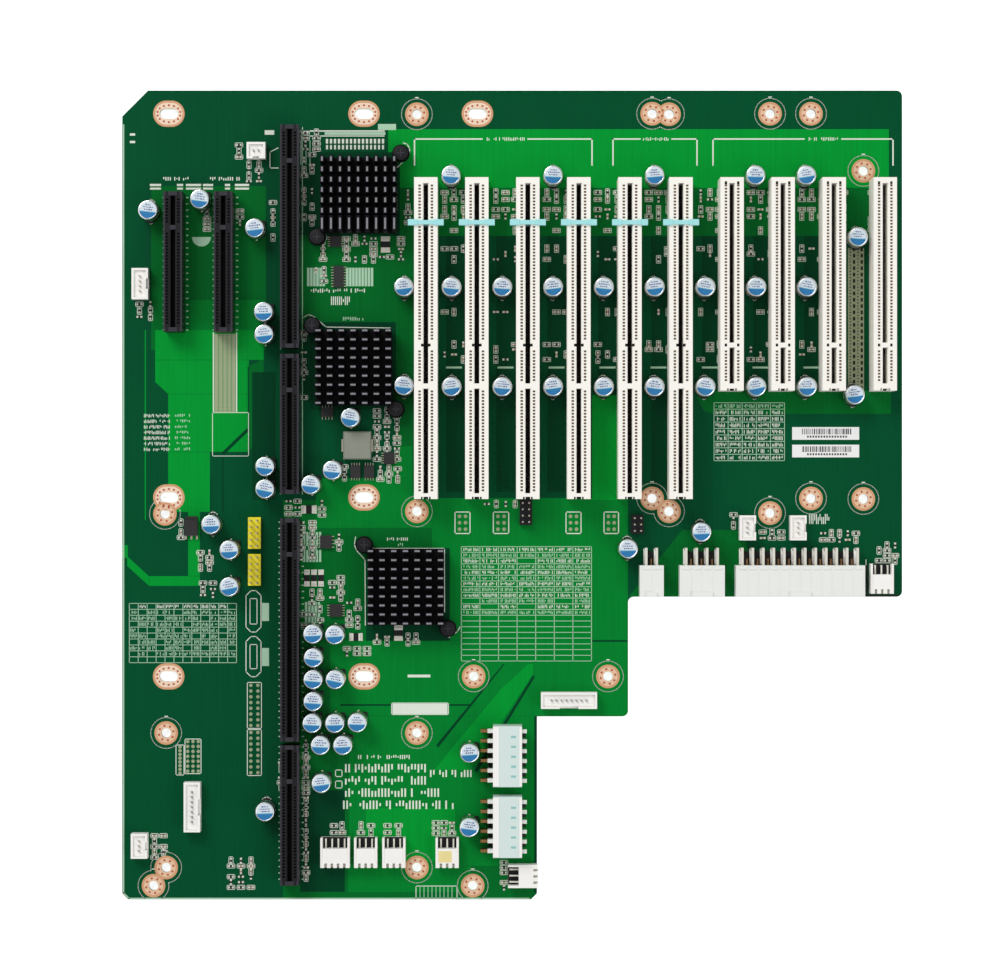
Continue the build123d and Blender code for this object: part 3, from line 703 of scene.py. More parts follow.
def make_cans():
    """Drawn cans with a crimp, a rolled rim, a lacquered face, a blue chord and generic print bars."""
    *_, z0, z1 = node_span("capacitor_cans")
    profile = [(r, z0 + z) for r, z in CAN_FOOT] + [(r, z1 - z) for r, z in CAN_CROWN]
    cans, bases = Shape(), Shape()
    for x, y in can_places():
        cans.at(x, y, random.uniform(-12, 12))
        cans.lathe(profile, can_metal, CAN_SIDES)
        cans.prism(circle(0, 0, CAN_FACE, CAN_SIDES), z1 - 0.12, z1 - 0.07, can_face)
        for chord, tone, lift in CAN_CHORDS:
            arc = sorted((p for p in circle(0, 0, CAN_EDGE, 72) if p[1] < chord), key=lambda p: p[0])
            cans.prism(arc, z1 - 0.08, z1 - 0.05 + lift, tone)
        for line, reach in CAN_PRINT:
            start = -reach
            while start < reach - 0.3:
                width = random.uniform(0.35, 0.9)
                height = random.uniform(0.35, 0.62)
                cans.block(start + width / 2, line, width - 0.1, height, z1 - 0.08, z1 - 0.055, can_print)
                start += width + 0.12
        in_row = x > -45 and y > 35
        turned = in_row or any(math.dist((x, y), t) < 1.0 for t in TURNED)
        half, side, front, rear = BASE_TURNED if turned else BASE_SQUARE
        outline = []
        for sx, sy, cut in ((-1, -1, front), (1, -1, side), (1, 1, rear), (-1, 1, side)):
            corner = [(sx * half, sy * (half - cut)), (sx * (half - cut), sy * half)]
            outline += corner if sx * sy > 0 else corner[::-1]
        bases.at(x, y, 45 if turned else 0)
        bases.prism(outline, TOP, z0 - 0.02, black)
        for hand in (-1, 1):
            if turned:
                peak = y + (5.1 if hand > 0 else -5.0)
                arms = [(x - 1.6, peak - hand * 1.1), (x, peak), (x + 1.6, peak - hand * 1.1)]
                silk.strip(arms, 0.5 if hand > 0 else 0.2, *SILK_Z, ink)
            else:
                bases.block(0, hand * (half + 0.2), 0.8, 0.9, TOP, TOP + 0.25, tin)
    cans.make("can_shells", "can_aluminium", smooth=True, replaces=("capacitor_cans",))
    bases.make("can_bases", "black_plastic", bevel=0.12, replaces=("capacitor_bases",))


# Heatsinks: hand of the ears, fins across, fins along, and whether the long fins stand along Y
SINKS = ((1, 9, 7, True), (-1, 7, 9, False), (-1, 7, 9, False))
EARS = {1: [(1, 1), (-1, -1)], -1: [(-1, 1), (1, -1)]}
SINK = 30.5
EAR = 16.8
SINK_BASE = 2.6
FRONT_FIN = 6.4
FIN_PITCH = 4.12
# Radius and height of the push pin's rings over the foot of the heatsink
PUSH_PIN = [
    (1.5, 2.6), (1.9, 2.62), (2.2, 3.0), (1.9, 3.3), (2.2, 3.6), (1.9, 3.9), (2.9, 4.0), (2.9, 4.4),
    (2.2, 4.5),
]


def fin_edges(count, thick):
    """Both edges of each fin, evenly spaced over the block."""
    pitch = (SINK - thick) / (count - 1)
    return [-SINK / 2 + k * pitch + edge for k in range(count) for edge in (0, thick)]


def make_heatsinks():
    """Pin fins cut both ways from one block, on a base with two diagonal push-pin ears."""
    for index, (hand, columns, rows, upright) in enumerate(SINKS):
        node = f"heatsink_{index + 1}"
        x0, x1, y0, y1, z0, z1 = node_span(node)
        cx, cy = (x0 + x1) / 2, (y0 + y1) / 2
        xs = fin_edges(columns, 1.7 if upright else 2.5)
        ys = fin_edges(rows, 1.6)
        if upright:
            # The front row is long and the others keep a close pitch behind it
            middles = [SINK / 2 - 1.5 - FIN_PITCH * (rows - 2 - k) for k in range(rows - 1)]
            ys = [-SINK / 2, -SINK / 2 + FRONT_FIN] + [m + edge for m in middles for edge in (-1.3, 1.3)]

        def height(i, j):
            return z1 - 0.06 if i % 2 == 0 and j % 2 == 0 else z0 + SINK_BASE

        shape = Shape().at(cx, cy)
        shape.terrace(xs, ys, height, z0, anodised)
        # Each fin's crown carries a lighter ridge, a painted highlight where light catches the fin tops
        for i in range(0, len(xs) - 1, 2):
            for j in range(0, len(ys) - 1, 2):
                middle = ((xs[i] + xs[i + 1]) / 2, (ys[j] + ys[j + 1]) / 2)
                ridge = (0.75, 0.7 * (ys[j + 1] - ys[j])) if upright else (2.1, 0.7)
                shape.block(*middle, *ridge, z1 - 0.07, z1 - 0.005, fin_top_highlight)
        pins = Shape()
        for ex, ey in EARS[hand]:
            x, y = ex * EAR, ey * EAR
            shape.ring(circle(x, y, 3.5, 32), circle(x, y, 1.65, 32), z0, z0 + SINK_BASE - 0.01, anodised)
            pins.at(cx + x, cy + y)
            pins.lathe([(PUSH_PIN[0][0], TOP)] + [(r, z0 + z) for r, z in PUSH_PIN], black, 28)
            # A lighter cross on each pin's top: a painted highlight
            for turn, crest in ((0, 4.55), (90, 4.56)):
                pins.at(cx + x, cy + y, turn)
                pins.block(0, 0, 3.2, 0.5, z0 + 4.45, z0 + crest, black_highlight)
        shape.make(f"pin_fin_sink_{index + 1}", "black_anodised", bevel=0.08, replaces=(node,))
        pins.make(f"push_pin_pair_{index + 1}", "black_plastic", smooth=True, replaces=("push_pins",))


# Headers
POWER_PITCH = 4.2
SIDE_PITCH = 3.96
WAFER_PITCH = 2.5
PIN = 0.64


def make_power_headers():
    """Grey housings with cell lines on top, a latch ledge, rear webs and bent leads."""
    for name, ways in (("main", 12), ("board", 4), ("aux", 2)):
        node = f"{name}_power_header"
        x0, _, y0, y1, _, z1 = node_span(node)
        dress(node, grey_nylon)
        trim = Shape()
        roof = z1 - 1.0
        for i in range(ways):
            x = x0 + 0.6 + (i + 0.5) * POWER_PITCH
            trim.box(x - 1.7, x + 1.7, y1 - 1.6, y1 - 0.5, roof, roof + 0.35, grey_nylon)
            trim.box(x - 1.9, x + 1.9, y0 + 0.4, y1 - 2.0, roof, roof + 0.12, grey_nylon)
            trim.box(x - 0.85, x + 0.85, y1 + 0.2, y1 + 6.6, TOP + 0.05, TOP + 0.5, white_nylon)
            if i < ways - 1:
                x += POWER_PITCH / 2
                # Painted shadow: a near-black block on the board between each pair of leads
                trim.box(x - 1.05, x + 1.05, y1 + 0.1, y1 + 5.6, TOP, TOP + 0.7, painted_shade)
                trim.box(x - 0.2, x + 0.2, y1 - 0.01, y1 + 2.6, TOP, TOP + 5.5, bronze)
        trim.make(f"{name}_power_ribs", "grey_plastic", bevel=0.1)


def make_side_headers():
    """Pale six-way bodies: bronze leads with light roots and painted shade in the wells between them, teeth
    at the mouth with painted shade between.
    """
    for index in (1, 2):
        node = f"side_power_header_{index}"
        x0, x1, y0, y1, _, z1 = node_span(node)
        dress(node, blue_nylon)
        trim = Shape()
        for i in range(6):
            y = (y0 + y1) / 2 + (i - 2.5) * SIDE_PITCH
            trim.box(x0 - 2.2, x0, y - 0.75, y + 0.75, TOP + 3.0, z1 - 3.6, white_nylon)
            trim.box(x0 - 4.9, x0 - 2.2, y - 0.6, y + 0.6, z1 - 5.6, z1 - 4.6, bronze)
            trim.box(x1 - 0.01, x1 + 1.9, y - 0.75, y + 0.75, z1 - 4.0, z1 - 2.4, white_nylon)
            if i < 5:
                # Painted shade: near-black sheets on the board between the leads and between the teeth
                trim.box(x0 - 1.9, x0, y + 0.95, y + 3.0, TOP, TOP + 0.5, painted_shade)
                trim.box(x1, x1 + 1.5, y + 0.9, y + 3.06, TOP, TOP + 0.3, painted_shade)
                trim.box(x1 - 4.4, x1 - 2.4, y + 1.5, y + 2.4, z1 - 0.01, z1 + 0.05, teal_mark)
        for rim0, rim1 in ((x0, x0 + 2.4), (x1 - 1.1, x1)):
            trim.box(rim0, rim1, y0 + 0.3, y1 - 0.3, z1 - 0.01, z1 + 0.3, white_nylon)
        trim.make(f"side_power_trim_{index}", "grey_plastic", bevel=0.1)


def make_fan_headers():
    """Right-angle wafers: lying pins in a window at the rear, a roof, and a comb of slots at the mouth."""
    metalwork = Shape()
    for name in ("fan_a", "fan_b", "fan_c", "fan_d", "corner", "edge"):
        node = f"{name}_header"
        x0, x1, y0, y1, z0, z1 = node_span(node)
        place = ((x0 + x1) / 2, (y0 + y1) / 2, 90 if name == "edge" else 0)
        half = (y1 - y0 if name == "edge" else x1 - x0) / 2
        ways = round((2 * half - 1.8) / WAFER_PITCH)
        pins = [(i - (ways - 1) / 2) * WAFER_PITCH for i in range(ways)]
        xs = [-half, -half + 0.9] + [x + edge for x in pins for edge in (-0.5, 0.5)] + [half - 0.9, half]
        ys = [-6.0, -4.2, 1.7, 6.0]

        def height(i, j):
            if i in (0, len(xs) - 2) or (j == 0 and i % 2 == 1):
                return z1
            return (z0 + 1.4, z1 - 0.35, z0 + 1.2)[j]

        shape = Shape().at(*place)
        # The low floor of the rear window, under the lying pins, is painted black as shade
        shape.terrace(xs, ys, height, z0, white_nylon, lambda z: black if z < z0 + 1.3 else None)
        if name == "fan_d":
            shape.box(1.2 - half, half - 2.8, -3.8, 0.8, z1 - 0.4, z1 - 0.3, yellow_cream)
        shape.make(f"{name}_wafer", "white_plastic", bevel=0.1, replaces=(node,))
        metalwork.at(*place)
        for x in pins:
            metalwork.box(x - PIN / 2, x + PIN / 2, 1.7, 5.4, z0 + 2.6, z0 + 2.6 + PIN, solder)
            metalwork.box(x - PIN / 2, x + PIN / 2, 4.8, 5.4, TOP, z0 + 2.6, solder)
    metalwork.make("fan_pins", "tinned_metal", bevel=0.08)


def make_upright_inserts():
    """A raised inner floor in each upright wafer, with the pins standing through it."""
    shape = Shape()
    wall = 0.95
    for index in range(7):
        x0, x1, y0, y1, z0, z1 = node_span(f"upright_header_{index + 1}")
        shape.box(x0 + wall, x1 - wall, y0 + wall, y1 - wall, z0 + 2.2, z1 - 1.1, white_nylon)
        along_x = x1 - x0 > y1 - y0
        count = round(max(x1 - x0, y1 - y0) / WAFER_PITCH) - 1
        for i in range(count):
            offset = (i - (count - 1) / 2) * 2.0
            x, y = (x0 + x1) / 2 + (offset if along_x else 0), (y0 + y1) / 2 + (0 if along_x else offset)
            shape.block(x, y, PIN, PIN, z1 - 1.2, z1 - 0.02, tin)
    shape.make("upright_floors", "white_plastic")


def finish_carried_nodes():
    """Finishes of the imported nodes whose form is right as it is."""
    finishes = {
        "circuit_board": mask, "power_leads": solder, "side_power_leads": bronze, "signal_pins": tin,
        "yellow_header_bases": yellow, "black_header_bases": black, "power_coil": ferrite,
        "small_chips": resin, "regulator": resin, "stickers": paper,
    }
    finishes |= {f"upright_header_{index + 1}": white_nylon for index in range(7)}
    finishes |= {f"bridge_chip_{index + 1}": resin for index in range(3)}
    for node, material in finishes.items():
        dress(node, material)


# Print on the board, in photo pixels. Tables: box, columns, rows, share filled, bold rows, open rows
TABLES = [
    (129.3, 603.4, 236.5, 662.7, 12, 10, 0.75, range(1), 1),
    (461.3, 546.6, 591.5, 661, 7, 20, 0.95, range(0, 12, 2), 8),
    (714, 402.7, 784.5, 460.7, 5, 9, 1.0, range(1, 9), 0),
]
# Settings text: the first row, the pitch and count of rows, then the words of a row with their sizes
SETTING_ROWS = (414, 5.6, 7)
SETTING_WORDS = ((144, 170, 3.4, 3.0, True), (175, 190, 2.6, 4.0, False))
# Brackets over the slot groups: left, right, and the gap that holds their words
BRACKETS = ((414.5, 592, 482, 528), (613, 697, 640, 672), (713, 893, 804, 842))
BRACKET_TOP = 139
BRACKET_FOOT = 165
# Words, as bars: box, size, and whether they are bold
WORDS = [
    (809, 514, 830, 524, 4.0, True), (311, 288.6, 365, 292.6, 5.0, True), (331, 296.5, 350, 305, 4.5, True),
    (161, 177, 190, 180.5, 5.0, True), (210, 177, 240, 180.5, 5.0, True), (343, 317, 366, 320.5, 4.0, False),
    (387, 537.5, 411, 540.6, 4.5, True), (394, 543, 403, 546, 4.5, False), (358, 755, 410, 759, 5.0, True),
    (345, 764, 428, 772.4, 7.5, True), (345, 776.2, 428, 784.6, 7.5, True),
    (345, 788.4, 441, 796.8, 7.5, True), (343, 800.6, 455, 809, 7.5, True), (430, 770, 474, 777, 7.0, True),
]
# Lines: width in millimetres, then the points
LINES = [
    (0.45, (213.4, 333), (213.4, 412)), (0.45, (236.6, 333), (236.6, 412)), (0.5, (300, 131), (384, 131)),
    (0.4, (300, 136), (384, 136)), (0.9, (131, 134.5), (134, 134.5)), (0.9, (131, 142), (134, 142)),
    (1.8, (267, 132.5), (272, 132.5)), (0.4, (278, 148), (270, 152), (270, 168), (278, 168)),
    (0.35, (866, 560), (866, 595)), (1.1, (409, 676), (429, 676)),
    (0.36, (403.5, 143), (407, 144), (409.5, 148), (409.8, 152), (407, 158), (396.6, 168), (396.9, 210)),
    (0.36, (303.5, 317.5), (308, 314.5), (313, 316), (320, 321.5), (326, 327), (391, 328), (391.4, 398)),
    (0.36, (355.5, 537), (354.4, 544.2), (356.3, 550.2), (365, 559.7), (365.3, 625)),
    (0.36, (372, 548.4), (444.4, 548.4), (444.6, 612)), (0.36, (460, 627), (457.5, 631.5), (449, 637.5)),
]
FINE_LINES = [
    (1.1, (326, 133.5), (384, 133.5)), (0.5, (123.6, 125), (123.6, 893), (129, 898.4), (529, 898.4)),
    (0.4, (301, 141), (301, 164)), (0.4, (306, 141), (306, 164)), (0.4, (310, 141), (310, 164)),
]
BOXES = [
    (212.5, 412.6, 248.5, 456, 0.25), (391.6, 703, 448.4, 714.5, 0.3), (335.5, 770, 342, 776.5, 0.35),
    (335.5, 781, 342, 788, 0.35), (416, 886, 457, 899, 0.3),
]
PATCHES = [(378, 124, 396, 130), (262, 603, 269, 621), (262, 648, 269, 666)]
COMBS = [(303, 532, 319, 546), (303, 550, 319, 562), (305, 602, 320, 623)]
COMB_TOOTH = 2.2
COMB_PITCH = 3.2
# Rows of upright marks: first and last x, pitch, both y, width, and whether they are fine
TICKS = [
    (327, 384, 4, 140, 142.4, 0.9, False), (327, 384, 4, 146, 148.4, 0.8, False),
    (308.2, 326.2, 3.1, 269, 285, 1.0, True), (347.2, 372.2, 3.1, 269, 285, 1.0, True),
    (420, 456, 4, 887, 898, 0.25, True),
]
LANE_DASHES = ((151, 160), (178, 182), (187, 200), (204, 212), (226, 229), (236, 248))
LANE_DASH_ROWS = ((185, 0.9), (188.6, 0.8))
SIDE_OUTLINE = [(866.6, 566), (866.6, 595.6), (897, 595.6)]
HALF_DISC = (201.5, 237, 9.5)
NAME_PLATE = (392.5, 703.6, 447.5, 714)
# Eight-sided outlines: their four x, and the two y of each
CLIPPED_XS = (246, 251, 256, 261)
CLIPPED_YS = ((590.6, 632), (636.5, 676.7))
JUMPERS = [(x0, 512, x1, 533.5) for x0, x1 in ((455, 470), (493.3, 508.7), (566, 581), (604, 618.5))]
FOOTPRINTS = [
    (247.3, 682.4, 261.4, 728.4, 2, 8), (247.3, 729.6, 261.4, 775.5, 2, 8), (185, 739, 201, 773.6, 3, 7),
    (176, 745, 184, 775, 1, 8),
]
# Bare slot footprints, and the pitch of the marks beside the lane connectors
BARE_LONG = (848, 248, 864, 390)
BARE_SHORT = (214.5, 334, 235.5, 412)
PIN_PITCH = 2.54


def pixel_box(x0, y0, x1, y1):
    """A photo-pixel box as x0, x1, y0, y1 in millimetres."""
    (left, front), (right, rear) = at_pixel(x0, y1), at_pixel(x1, y0)
    return left, right, front, rear


def silk_line(points, width, closed=False, fine=False):
    shape, look = (fine_silk, faded_ink) if fine else (silk, ink)
    shape.strip([at_pixel(*p) for p in points], width, *SILK_Z, look, closed)


def silk_box(x0, y0, x1, y1, width):
    silk_line(band(x0, y0, x1, y1), width, True)


def silk_patch(*box):
    fine_silk.box(*pixel_box(*box), *SILK_Z, faded_ink)


def silk_bars(x0, y0, x1, y1, size, bold=False):
    """A line of print stood for by upright bars of uneven height."""
    target, look = (silk, ink) if bold else (fine_silk, faded_ink)
    stroke = 0.22 * size
    x = x0
    while x < x1 - stroke:
        if random.random() < 0.86:
            top = y0 + random.choice((0.0, 0.0, 0.3)) * (y1 - y0)
            foot = y1 - random.choice((0.0, 0.0, 0.35)) * (y1 - y0)
            target.box(*pixel_box(x, top, x + stroke, foot), *SILK_Z, look)
        x += 2 * stroke


def silk_table(x0, y0, x1, y1, columns, rows, filled, bold_rows, open_rows):
    """A printed settings table: ruled lines, and bars in the cells except the last open rows."""

    def corner(i, j):
        return x0 + (x1 - x0) * i / columns, y0 + (y1 - y0) * j / rows

    for i in range(columns + 1):
        silk_line([corner(i, 0), corner(i, rows)], 0.26, fine=True)
    for j in range(rows + 1):
        silk_line([corner(0, j), corner(columns, j)], 0.24, fine=True)
    for i in range(columns):
        for j in range(rows - open_rows):
            if random.random() <= filled:
                silk_bars(*corner(i + 0.12, j + 0.22), *corner(i + 0.92, j + 0.8), 3.2, j in bold_rows)


def pad_grid(box, across, along, radius):
    """Round tinned pads at shares of a photo-pixel box."""
    x0, y0, x1, y1 = box
    for a in across:
        for b in along:
            centre = at_pixel(x0 + (x1 - x0) * a, y0 + (y1 - y0) * b)
            fine_silk.prism(circle(*centre, radius, 14), *SILK_Z, khaki)


def make_silk():
    for table in TABLES:
        silk_table(*table)
    first, pitch, count = SETTING_ROWS
    for row in range(count):
        y = first + row * pitch
        for x0, x1, tall, size, bold in SETTING_WORDS:
            silk_bars(x0, y, x1, y + tall, size, bold)
    for x0, x1, gap0, gap1 in BRACKETS:
        for x, gap in ((x0, gap0), (x1, gap1)):
            silk_line([(x, BRACKET_FOOT), (x, BRACKET_TOP), (gap, BRACKET_TOP)], 0.55)
        silk_bars(gap0 + 3, BRACKET_TOP - 1.6, gap1 - 3, BRACKET_TOP + 1.6, 4.0, True)
    for words in WORDS:
        silk_bars(*words)
    for lines, fine in ((LINES, False), (FINE_LINES, True)):
        for width, *points in lines:
            silk_line(points, width, fine=fine)
    for box in BOXES:
        silk_box(*box)
    for box in PATCHES:
        silk_patch(*box)
    for x0, y0, x1, y1 in COMBS:
        while x0 < x1:
            silk_patch(x0, y0, x0 + COMB_TOOTH, y1)
            x0 += COMB_PITCH
    for x, x1, pitch, y0, y1, width, fine in TICKS:
        while x < x1:
            silk_line([(x, y0), (x, y1)], width, fine=fine)
            x += pitch
    for x0, x1 in LANE_DASHES:
        for y, width in LANE_DASH_ROWS:
            silk_line([(x0, y), (x1, y)], width)
    # The painted shade line along the side header, the half disc at the lane slot and the bare name plate
    fine_silk.strip([at_pixel(*p) for p in SIDE_OUTLINE], 0.7, *SILK_Z, painted_shade)
    x, y, radius = HALF_DISC
    angles = [math.pi * k / 12 for k in range(13)]
    half = [at_pixel(x - radius * math.cos(a), y + radius * math.sin(a)) for a in angles]
    fine_silk.prism(half, *SILK_Z, faded_ink)
    silk.box(*pixel_box(*NAME_PLATE), TOP, TOP + 0.02, ink)
    for box in JUMPERS:
        silk_box(*box, 0.4)
        pad_grid(box, (0.3, 0.7), (0.2, 0.5, 0.8), 0.75)
    for y0, y1 in CLIPPED_YS:
        rear, front = (y0 + 5, y0, y0, y0 + 5), (y1 - 5, y1, y1, y1 - 5)
        silk_line([*zip(CLIPPED_XS, rear), *zip(CLIPPED_XS[::-1], front)], 0.35, True)
        silk_box(CLIPPED_XS[0] + 4, y0 + 8, CLIPPED_XS[3] - 4, y1 - 8, 0.3)
    for *box, columns, rows in FOOTPRINTS:
        silk_box(*box, 0.3)
        pad_grid(box, *([(k + 0.5) / count for k in range(count)] for count in (columns, rows)), 0.7)


def make_pin_dashes():
    """Dashes of silk and tinned pads beside the lane connectors and the bare footprints."""
    for i in range(2):
        x0, x1, y0, y1, *_ = node_span(f"host_slot_{i + 1}")
        for x in (x0 - 0.6, x1 + 0.75):
            fine_silk.strip([(x, y0), (x, y1)], 0.36, *SILK_Z, faded_ink)
    for node in ("host_slot_3", "host_slot_4", "lane_slot_1", "lane_slot_2"):
        x0, x1, y0, y1, *_ = node_span(node)
        for k in range(int((y1 - y0) // PIN_PITCH)):
            for x in (x0 - 0.95, x1 + 0.95):
                fine_silk.block(x, y0 + 1.2 + k * PIN_PITCH, 0.9, 0.5, *SILK_Z, faded_ink)
    holes = Shape()
    for box, inset, pitch in ((BARE_LONG, 0.9, CELL_PITCH), (BARE_SHORT, 1.6, 1.0)):
        x0, x1, y0, y1 = pixel_box(*box)
        fine_silk.box(x0, x1, y0, y1, TOP, TOP + 0.015, khaki)
        for k in range(int((y1 - y0) // pitch)):
            for column in range(4):
                x = x0 + inset + column * (x1 - x0 - 2 * inset) / 3
                y = y0 + 0.8 + k * pitch
                # The bare long footprint's holes and slots are drawn in near-black painted shade
                if box is BARE_SHORT:
                    holes.prism(circle(x, y, 0.28, 10), *SILK_Z, mask)
                elif column % 2 == 0:
                    holes.prism(circle(x, y, 0.3, 10), *SILK_Z, painted_shade)
                elif k % 2 == 0:
                    holes.block(x, y, 0.9, 1.5, *SILK_Z, painted_shade)
    holes.make("bare_pin_holes", "tinned_metal")


# Small passives: lanes between the card slots, and rows and zones of parts, as photo-pixel boxes with counts
LANES = [(440, 468), (491, 520), (542, 571), (593, 622), (644, 673), (696, 724), (746, 775), (797, 826)]
LANE_ROWS = [
    (189, 203, 8, (resin, resin, tan)), (206, 220, 7, (tan, resin, tan)), (228, 233, 1, (tan,)),
    (246, 262, 4, (tan, resin)), (309, 315, 2, (tan,)), (342, 362, 5, (tan, resin)),
]
ZONES = [
    (403, 190, 413, 225, 6), (300, 130, 322, 152, 10), (300, 152, 316, 225, 14), (318, 235, 328, 262, 6),
    (342, 236, 378, 262, 16), (394, 236, 408, 262, 6), (312, 262, 328, 284, 4), (301, 330, 307, 400, 8),
    (372, 408, 402, 462, 30), (340, 464, 349, 480, 4), (376, 466, 402, 482, 10), (296, 520, 318, 560, 16),
    (333, 534, 345, 550, 5), (328, 575, 345, 600, 8), (345, 600, 362, 628, 8), (300, 590, 324, 628, 12),
    (372, 634, 392, 645, 5), (404, 634, 420, 645, 4), (300, 740, 312, 880, 30), (178, 520, 184, 540, 3),
    (196, 550, 214, 570, 8), (198, 580, 218, 598, 10), (226, 858, 256, 890, 16), (150, 833, 168, 860, 8),
    (278, 760, 284, 790, 5), (330, 822, 346, 836, 5), (356, 822, 376, 836, 6), (382, 822, 404, 836, 6),
    (432, 820, 456, 836, 9), (134, 301, 156, 320, 10), (232, 142, 246, 160, 8), (244, 162, 264, 184, 8),
    (200, 206, 214, 232, 10), (236, 208, 244, 226, 4), (270, 200, 276, 240, 5), (726, 512, 741, 528, 6),
    (758, 529, 786, 541, 9), (819, 530, 860, 543, 10), (875, 543, 899, 563, 9), (866, 190, 878, 232, 8),
    (840, 190, 848, 230, 5), (500, 860, 508, 890, 5), (482, 500, 520, 508, 4), (378, 254, 394, 260, 3),
    (284, 498, 302, 517, 8), (319, 500, 325, 518, 3), (342, 646, 372, 656, 6),
]
# Larger black parts: photo pixel, turn, length and width
BLACK_PARTS = [
    (307, 578, 90, 4.6, 2.2), (314, 578, 90, 4.6, 2.2), (321, 578, 90, 4.6, 2.2), (356, 637, 0, 3.6, 3.0),
    (398.5, 633, 90, 4.2, 3.4), (385.5, 244.5, 90, 4.4, 3.6), (309, 509.5, 0, 4.2, 3.2),
]
LANE_MARK = 7
LANE_MARK_Y = 367.5
PART_HEIGHT = 0.55
PART_PITCH = (3.2, 2.0)
OUTLINED_SHARE = 0.75
PART_OUTLINE = band(-1.55, -0.85, 1.55, 0.85)
bodies = Shape()
ends = Shape()


def passive(x, y, turn, look, length=1.6, width=0.8):
    """A chip part: ceramic or resistor body between two tinned ends."""
    for shape in (bodies, ends):
        shape.at(x, y, turn)
    bodies.block(0, 0, length * 0.6, width, TOP, TOP + PART_HEIGHT, look)
    for side in (-1, 1):
        ends.block(side * length * 0.4, 0, length * 0.24, width, TOP, TOP + PART_HEIGHT + 0.02, solder)
        ends.block(side * length * 0.62, 0, length * 0.24, width * 1.05, TOP, TOP + 0.06, solder)


def scatter(x0, y0, x1, y1, count, looks):
    """Chip parts in a photo-pixel box, on a coarse grid with a few places empty."""
    left, right, front, rear = pixel_box(x0, y0, x1, y1)
    columns = max(1, int((right - left) // PART_PITCH[0]))
    rows = max(1, int((rear - front) // PART_PITCH[1]))
    cells = [(i, j) for i in range(columns) for j in range(rows)]
    random.shuffle(cells)
    for i, j in cells[:count]:
        x = left + (i + 0.5) * (right - left) / columns
        y = front + (j + 0.5) * (rear - front) / rows
        turn = random.choice((0, 90))
        passive(x, y, turn, random.choice(looks))
        if random.random() < OUTLINED_SHARE:
            silk.at(x, y, turn)
            silk.strip(PART_OUTLINE, 0.24, *SILK_Z, ink, True)
    silk.at(0, 0)


def make_passives():
    for left, right in LANES:
        for rear, front, count, looks in LANE_ROWS:
            scatter(left, rear, right, front, count, looks)
        middle = (left + right) / 2
        silk_line([(middle - LANE_MARK, LANE_MARK_Y), (middle + LANE_MARK, LANE_MARK_Y)], 0.8, fine=True)
    for zone in ZONES:
        scatter(*zone, (resin, tan, resin))
    for px, py, turn, length, width in BLACK_PARTS:
        passive(*at_pixel(px, py), turn, black, length, width)
    bodies.make("chip_parts", "chip_resin", bevel=0.06)
    ends.make("chip_part_ends", "tinned_metal")


# Small chips: centre, width, length, legs on a side, and the axis that the legs point along
CHIPS = [
    (-63.1, 9.4, 4.0, 5.0, 4, "y"), (-57.6, 9.4, 4.0, 5.0, 4, "y"), (-49.6, 14.9, 4.2, 4.8, 5, "x"),
    (-74.5, 33.4, 4.8, 4.0, 4, "y"), (-69.9, 87.9, 4.0, 8.6, 8, "x"), (-71.1, 102.1, 4.4, 4.4, 5, "x"),
    (-75.0, -18.9, 4.6, 5.2, 4, "x"), (-71.0, -46.5, 5.0, 5.0, 5, "x"),
]
COIL = (-62.3, 19.9)
REGULATOR = (-129.2, -13.2)


def make_chip_legs():
    """Gull-wing legs beside the small chips, the coil's side terminals and the regulator's legs."""
    legs = Shape()
    for x, y, width, length, count, axis in CHIPS:
        if axis == "y":
            width, length = length, width
        legs.at(x, y, 0 if axis == "x" else 90)
        for hand in (-1, 1):
            for i in range(count):
                offset = (i / (count - 1) - 0.5) * (length - 0.9)
                legs.block(hand * (width / 2 + 0.25), offset, 0.55, 0.3, TOP + 0.45, TOP + 0.65, tin)
                legs.block(hand * (width / 2 + 0.75), offset, 0.6, 0.3, TOP, TOP + 0.2, tin)
    legs.at(*COIL)
    for x in (-5.9, 5.9):
        legs.block(x, 0, 0.9, 5.0, TOP, TOP + 2.0, tin)
    legs.at(*REGULATOR)
    for x in (-2.2, 0, 2.2):
        legs.block(x, -3.9, 0.8, 1.6, TOP, TOP + 0.6, tin)
    legs.make("chip_legs", "tinned_metal", bevel=0.04)


LABEL_X = 126.3
LABEL_YS = (24.8, 17.7)
LABEL_FILM = (TOP + 0.1, TOP + 0.115)


def make_labels():
    """Plain bars on the two stickers, as generic barcodes over a row of even dashes."""
    bars = Shape()
    for y in LABEL_YS:
        x = LABEL_X - 9.5
        while x < LABEL_X + 10:
            width = random.choice((0.18, 0.3, 0.5))
            bars.box(x, x + width, y - 0.4, y + 1.9, *LABEL_FILM, barcode)
            x += width + random.choice((0.2, 0.3, 0.45))
        x = LABEL_X - 7.5
        while x < LABEL_X + 8:
            bars.box(x, x + 0.7, y - 1.7, y - 0.9, *LABEL_FILM, barcode)
            x += 1.1
    bars.make("label_bars", "paper")


# Studio: each lamp's name, place, size and power, in metres and watts
LAMPS = (("key", (-0.9, 1.2, 1.5), 0.9, 20.0), ("fill", (1.2, -0.7, 1.4), 1.2, 9.0))
FLOOR_REACH = 6.0
FLOOR_DROP = 0.0002
FLOOR_GLOW = 0.8
SKY = 0.5
SENSOR = 36
PHOTO_WIDTH = 1000


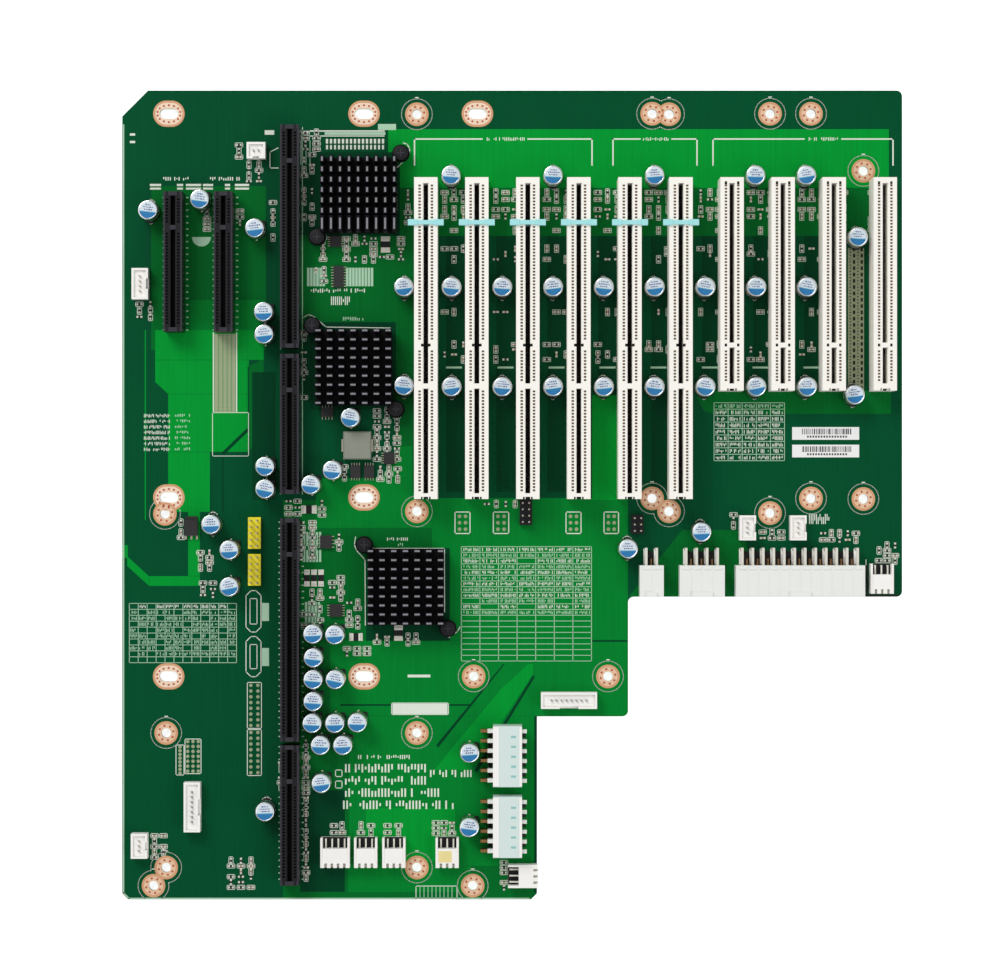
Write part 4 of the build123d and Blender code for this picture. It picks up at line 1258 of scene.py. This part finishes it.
def make_studio():
    """Pale floor, soft lamps and a camera that looks straight down."""
    link = bpy.context.scene.collection.objects.link
    floor_mesh = bpy.data.meshes.new("floor")
    corners = [(x * FLOOR_REACH, y * FLOOR_REACH, 0) for x, y in band(-1, -1, 1, 1)[::-1]]
    floor_mesh.from_pydata(corners, [], QUAD)
    floor = bpy.data.objects.new("floor", floor_mesh)
    floor.location.z = -FLOOR_DROP
    link(floor)
    n = Nodes("pale floor")
    n.set("Base Color", n.mix(n.noise(2.0), (0.86, 0.86, 0.86, 1), (0.84, 0.84, 0.84, 1)))
    n.set("Roughness", 0.9)
    rays = n.add("ShaderNodeLightPath").outputs
    seen = n.math("MAXIMUM", rays["Is Glossy Ray"], rays["Is Transmission Ray"])
    seen = n.math("MAXIMUM", rays["Is Camera Ray"], seen)
    n.set("Emission Strength", n.math("MULTIPLY", seen, FLOOR_GLOW))
    n.set("Emission Color", (1, 1, 1, 1))
    floor_mesh.materials.append(n.material)
    world = bpy.data.worlds.new("studio")
    bpy.context.scene.world = world
    world.use_nodes = True
    world.node_tree.nodes["Background"].inputs[0].default_value = (1, 1, 1, 1)
    world.node_tree.nodes["Background"].inputs[1].default_value = SKY
    for name, place, size, power in LAMPS:
        lamp = bpy.data.lights.new(name, "AREA")
        lamp.size = size
        lamp.energy = power
        holder = bpy.data.objects.new(name, lamp)
        holder.location = place
        holder.rotation_euler = (-Vector(place)).to_track_quat("-Z", "Y").to_euler()
        link(holder)
    lens = bpy.data.cameras.new("camera")
    lens.lens = SENSOR * CAMERA_RISE * PIXELS_PER_MM / PHOTO_WIDTH
    camera = bpy.data.objects.new("camera", lens)
    camera.location = (NADIR[0] * MM, NADIR[1] * MM, (TOP + CAMERA_RISE) * MM)
    link(camera)
    bpy.context.scene.camera = camera
    bpy.context.scene.view_settings.view_transform = "Standard"


finish_carried_nodes()
make_lands()
make_slots()
make_key_inserts()
make_cans()
make_heatsinks()
make_power_headers()
make_side_headers()
make_fan_headers()
make_upright_inserts()
make_silk()
make_pin_dashes()
make_passives()
make_chip_legs()
make_labels()
silk.make("silkscreen", "paper")
fine_silk.make("fine_silkscreen", "paper")
make_studio()
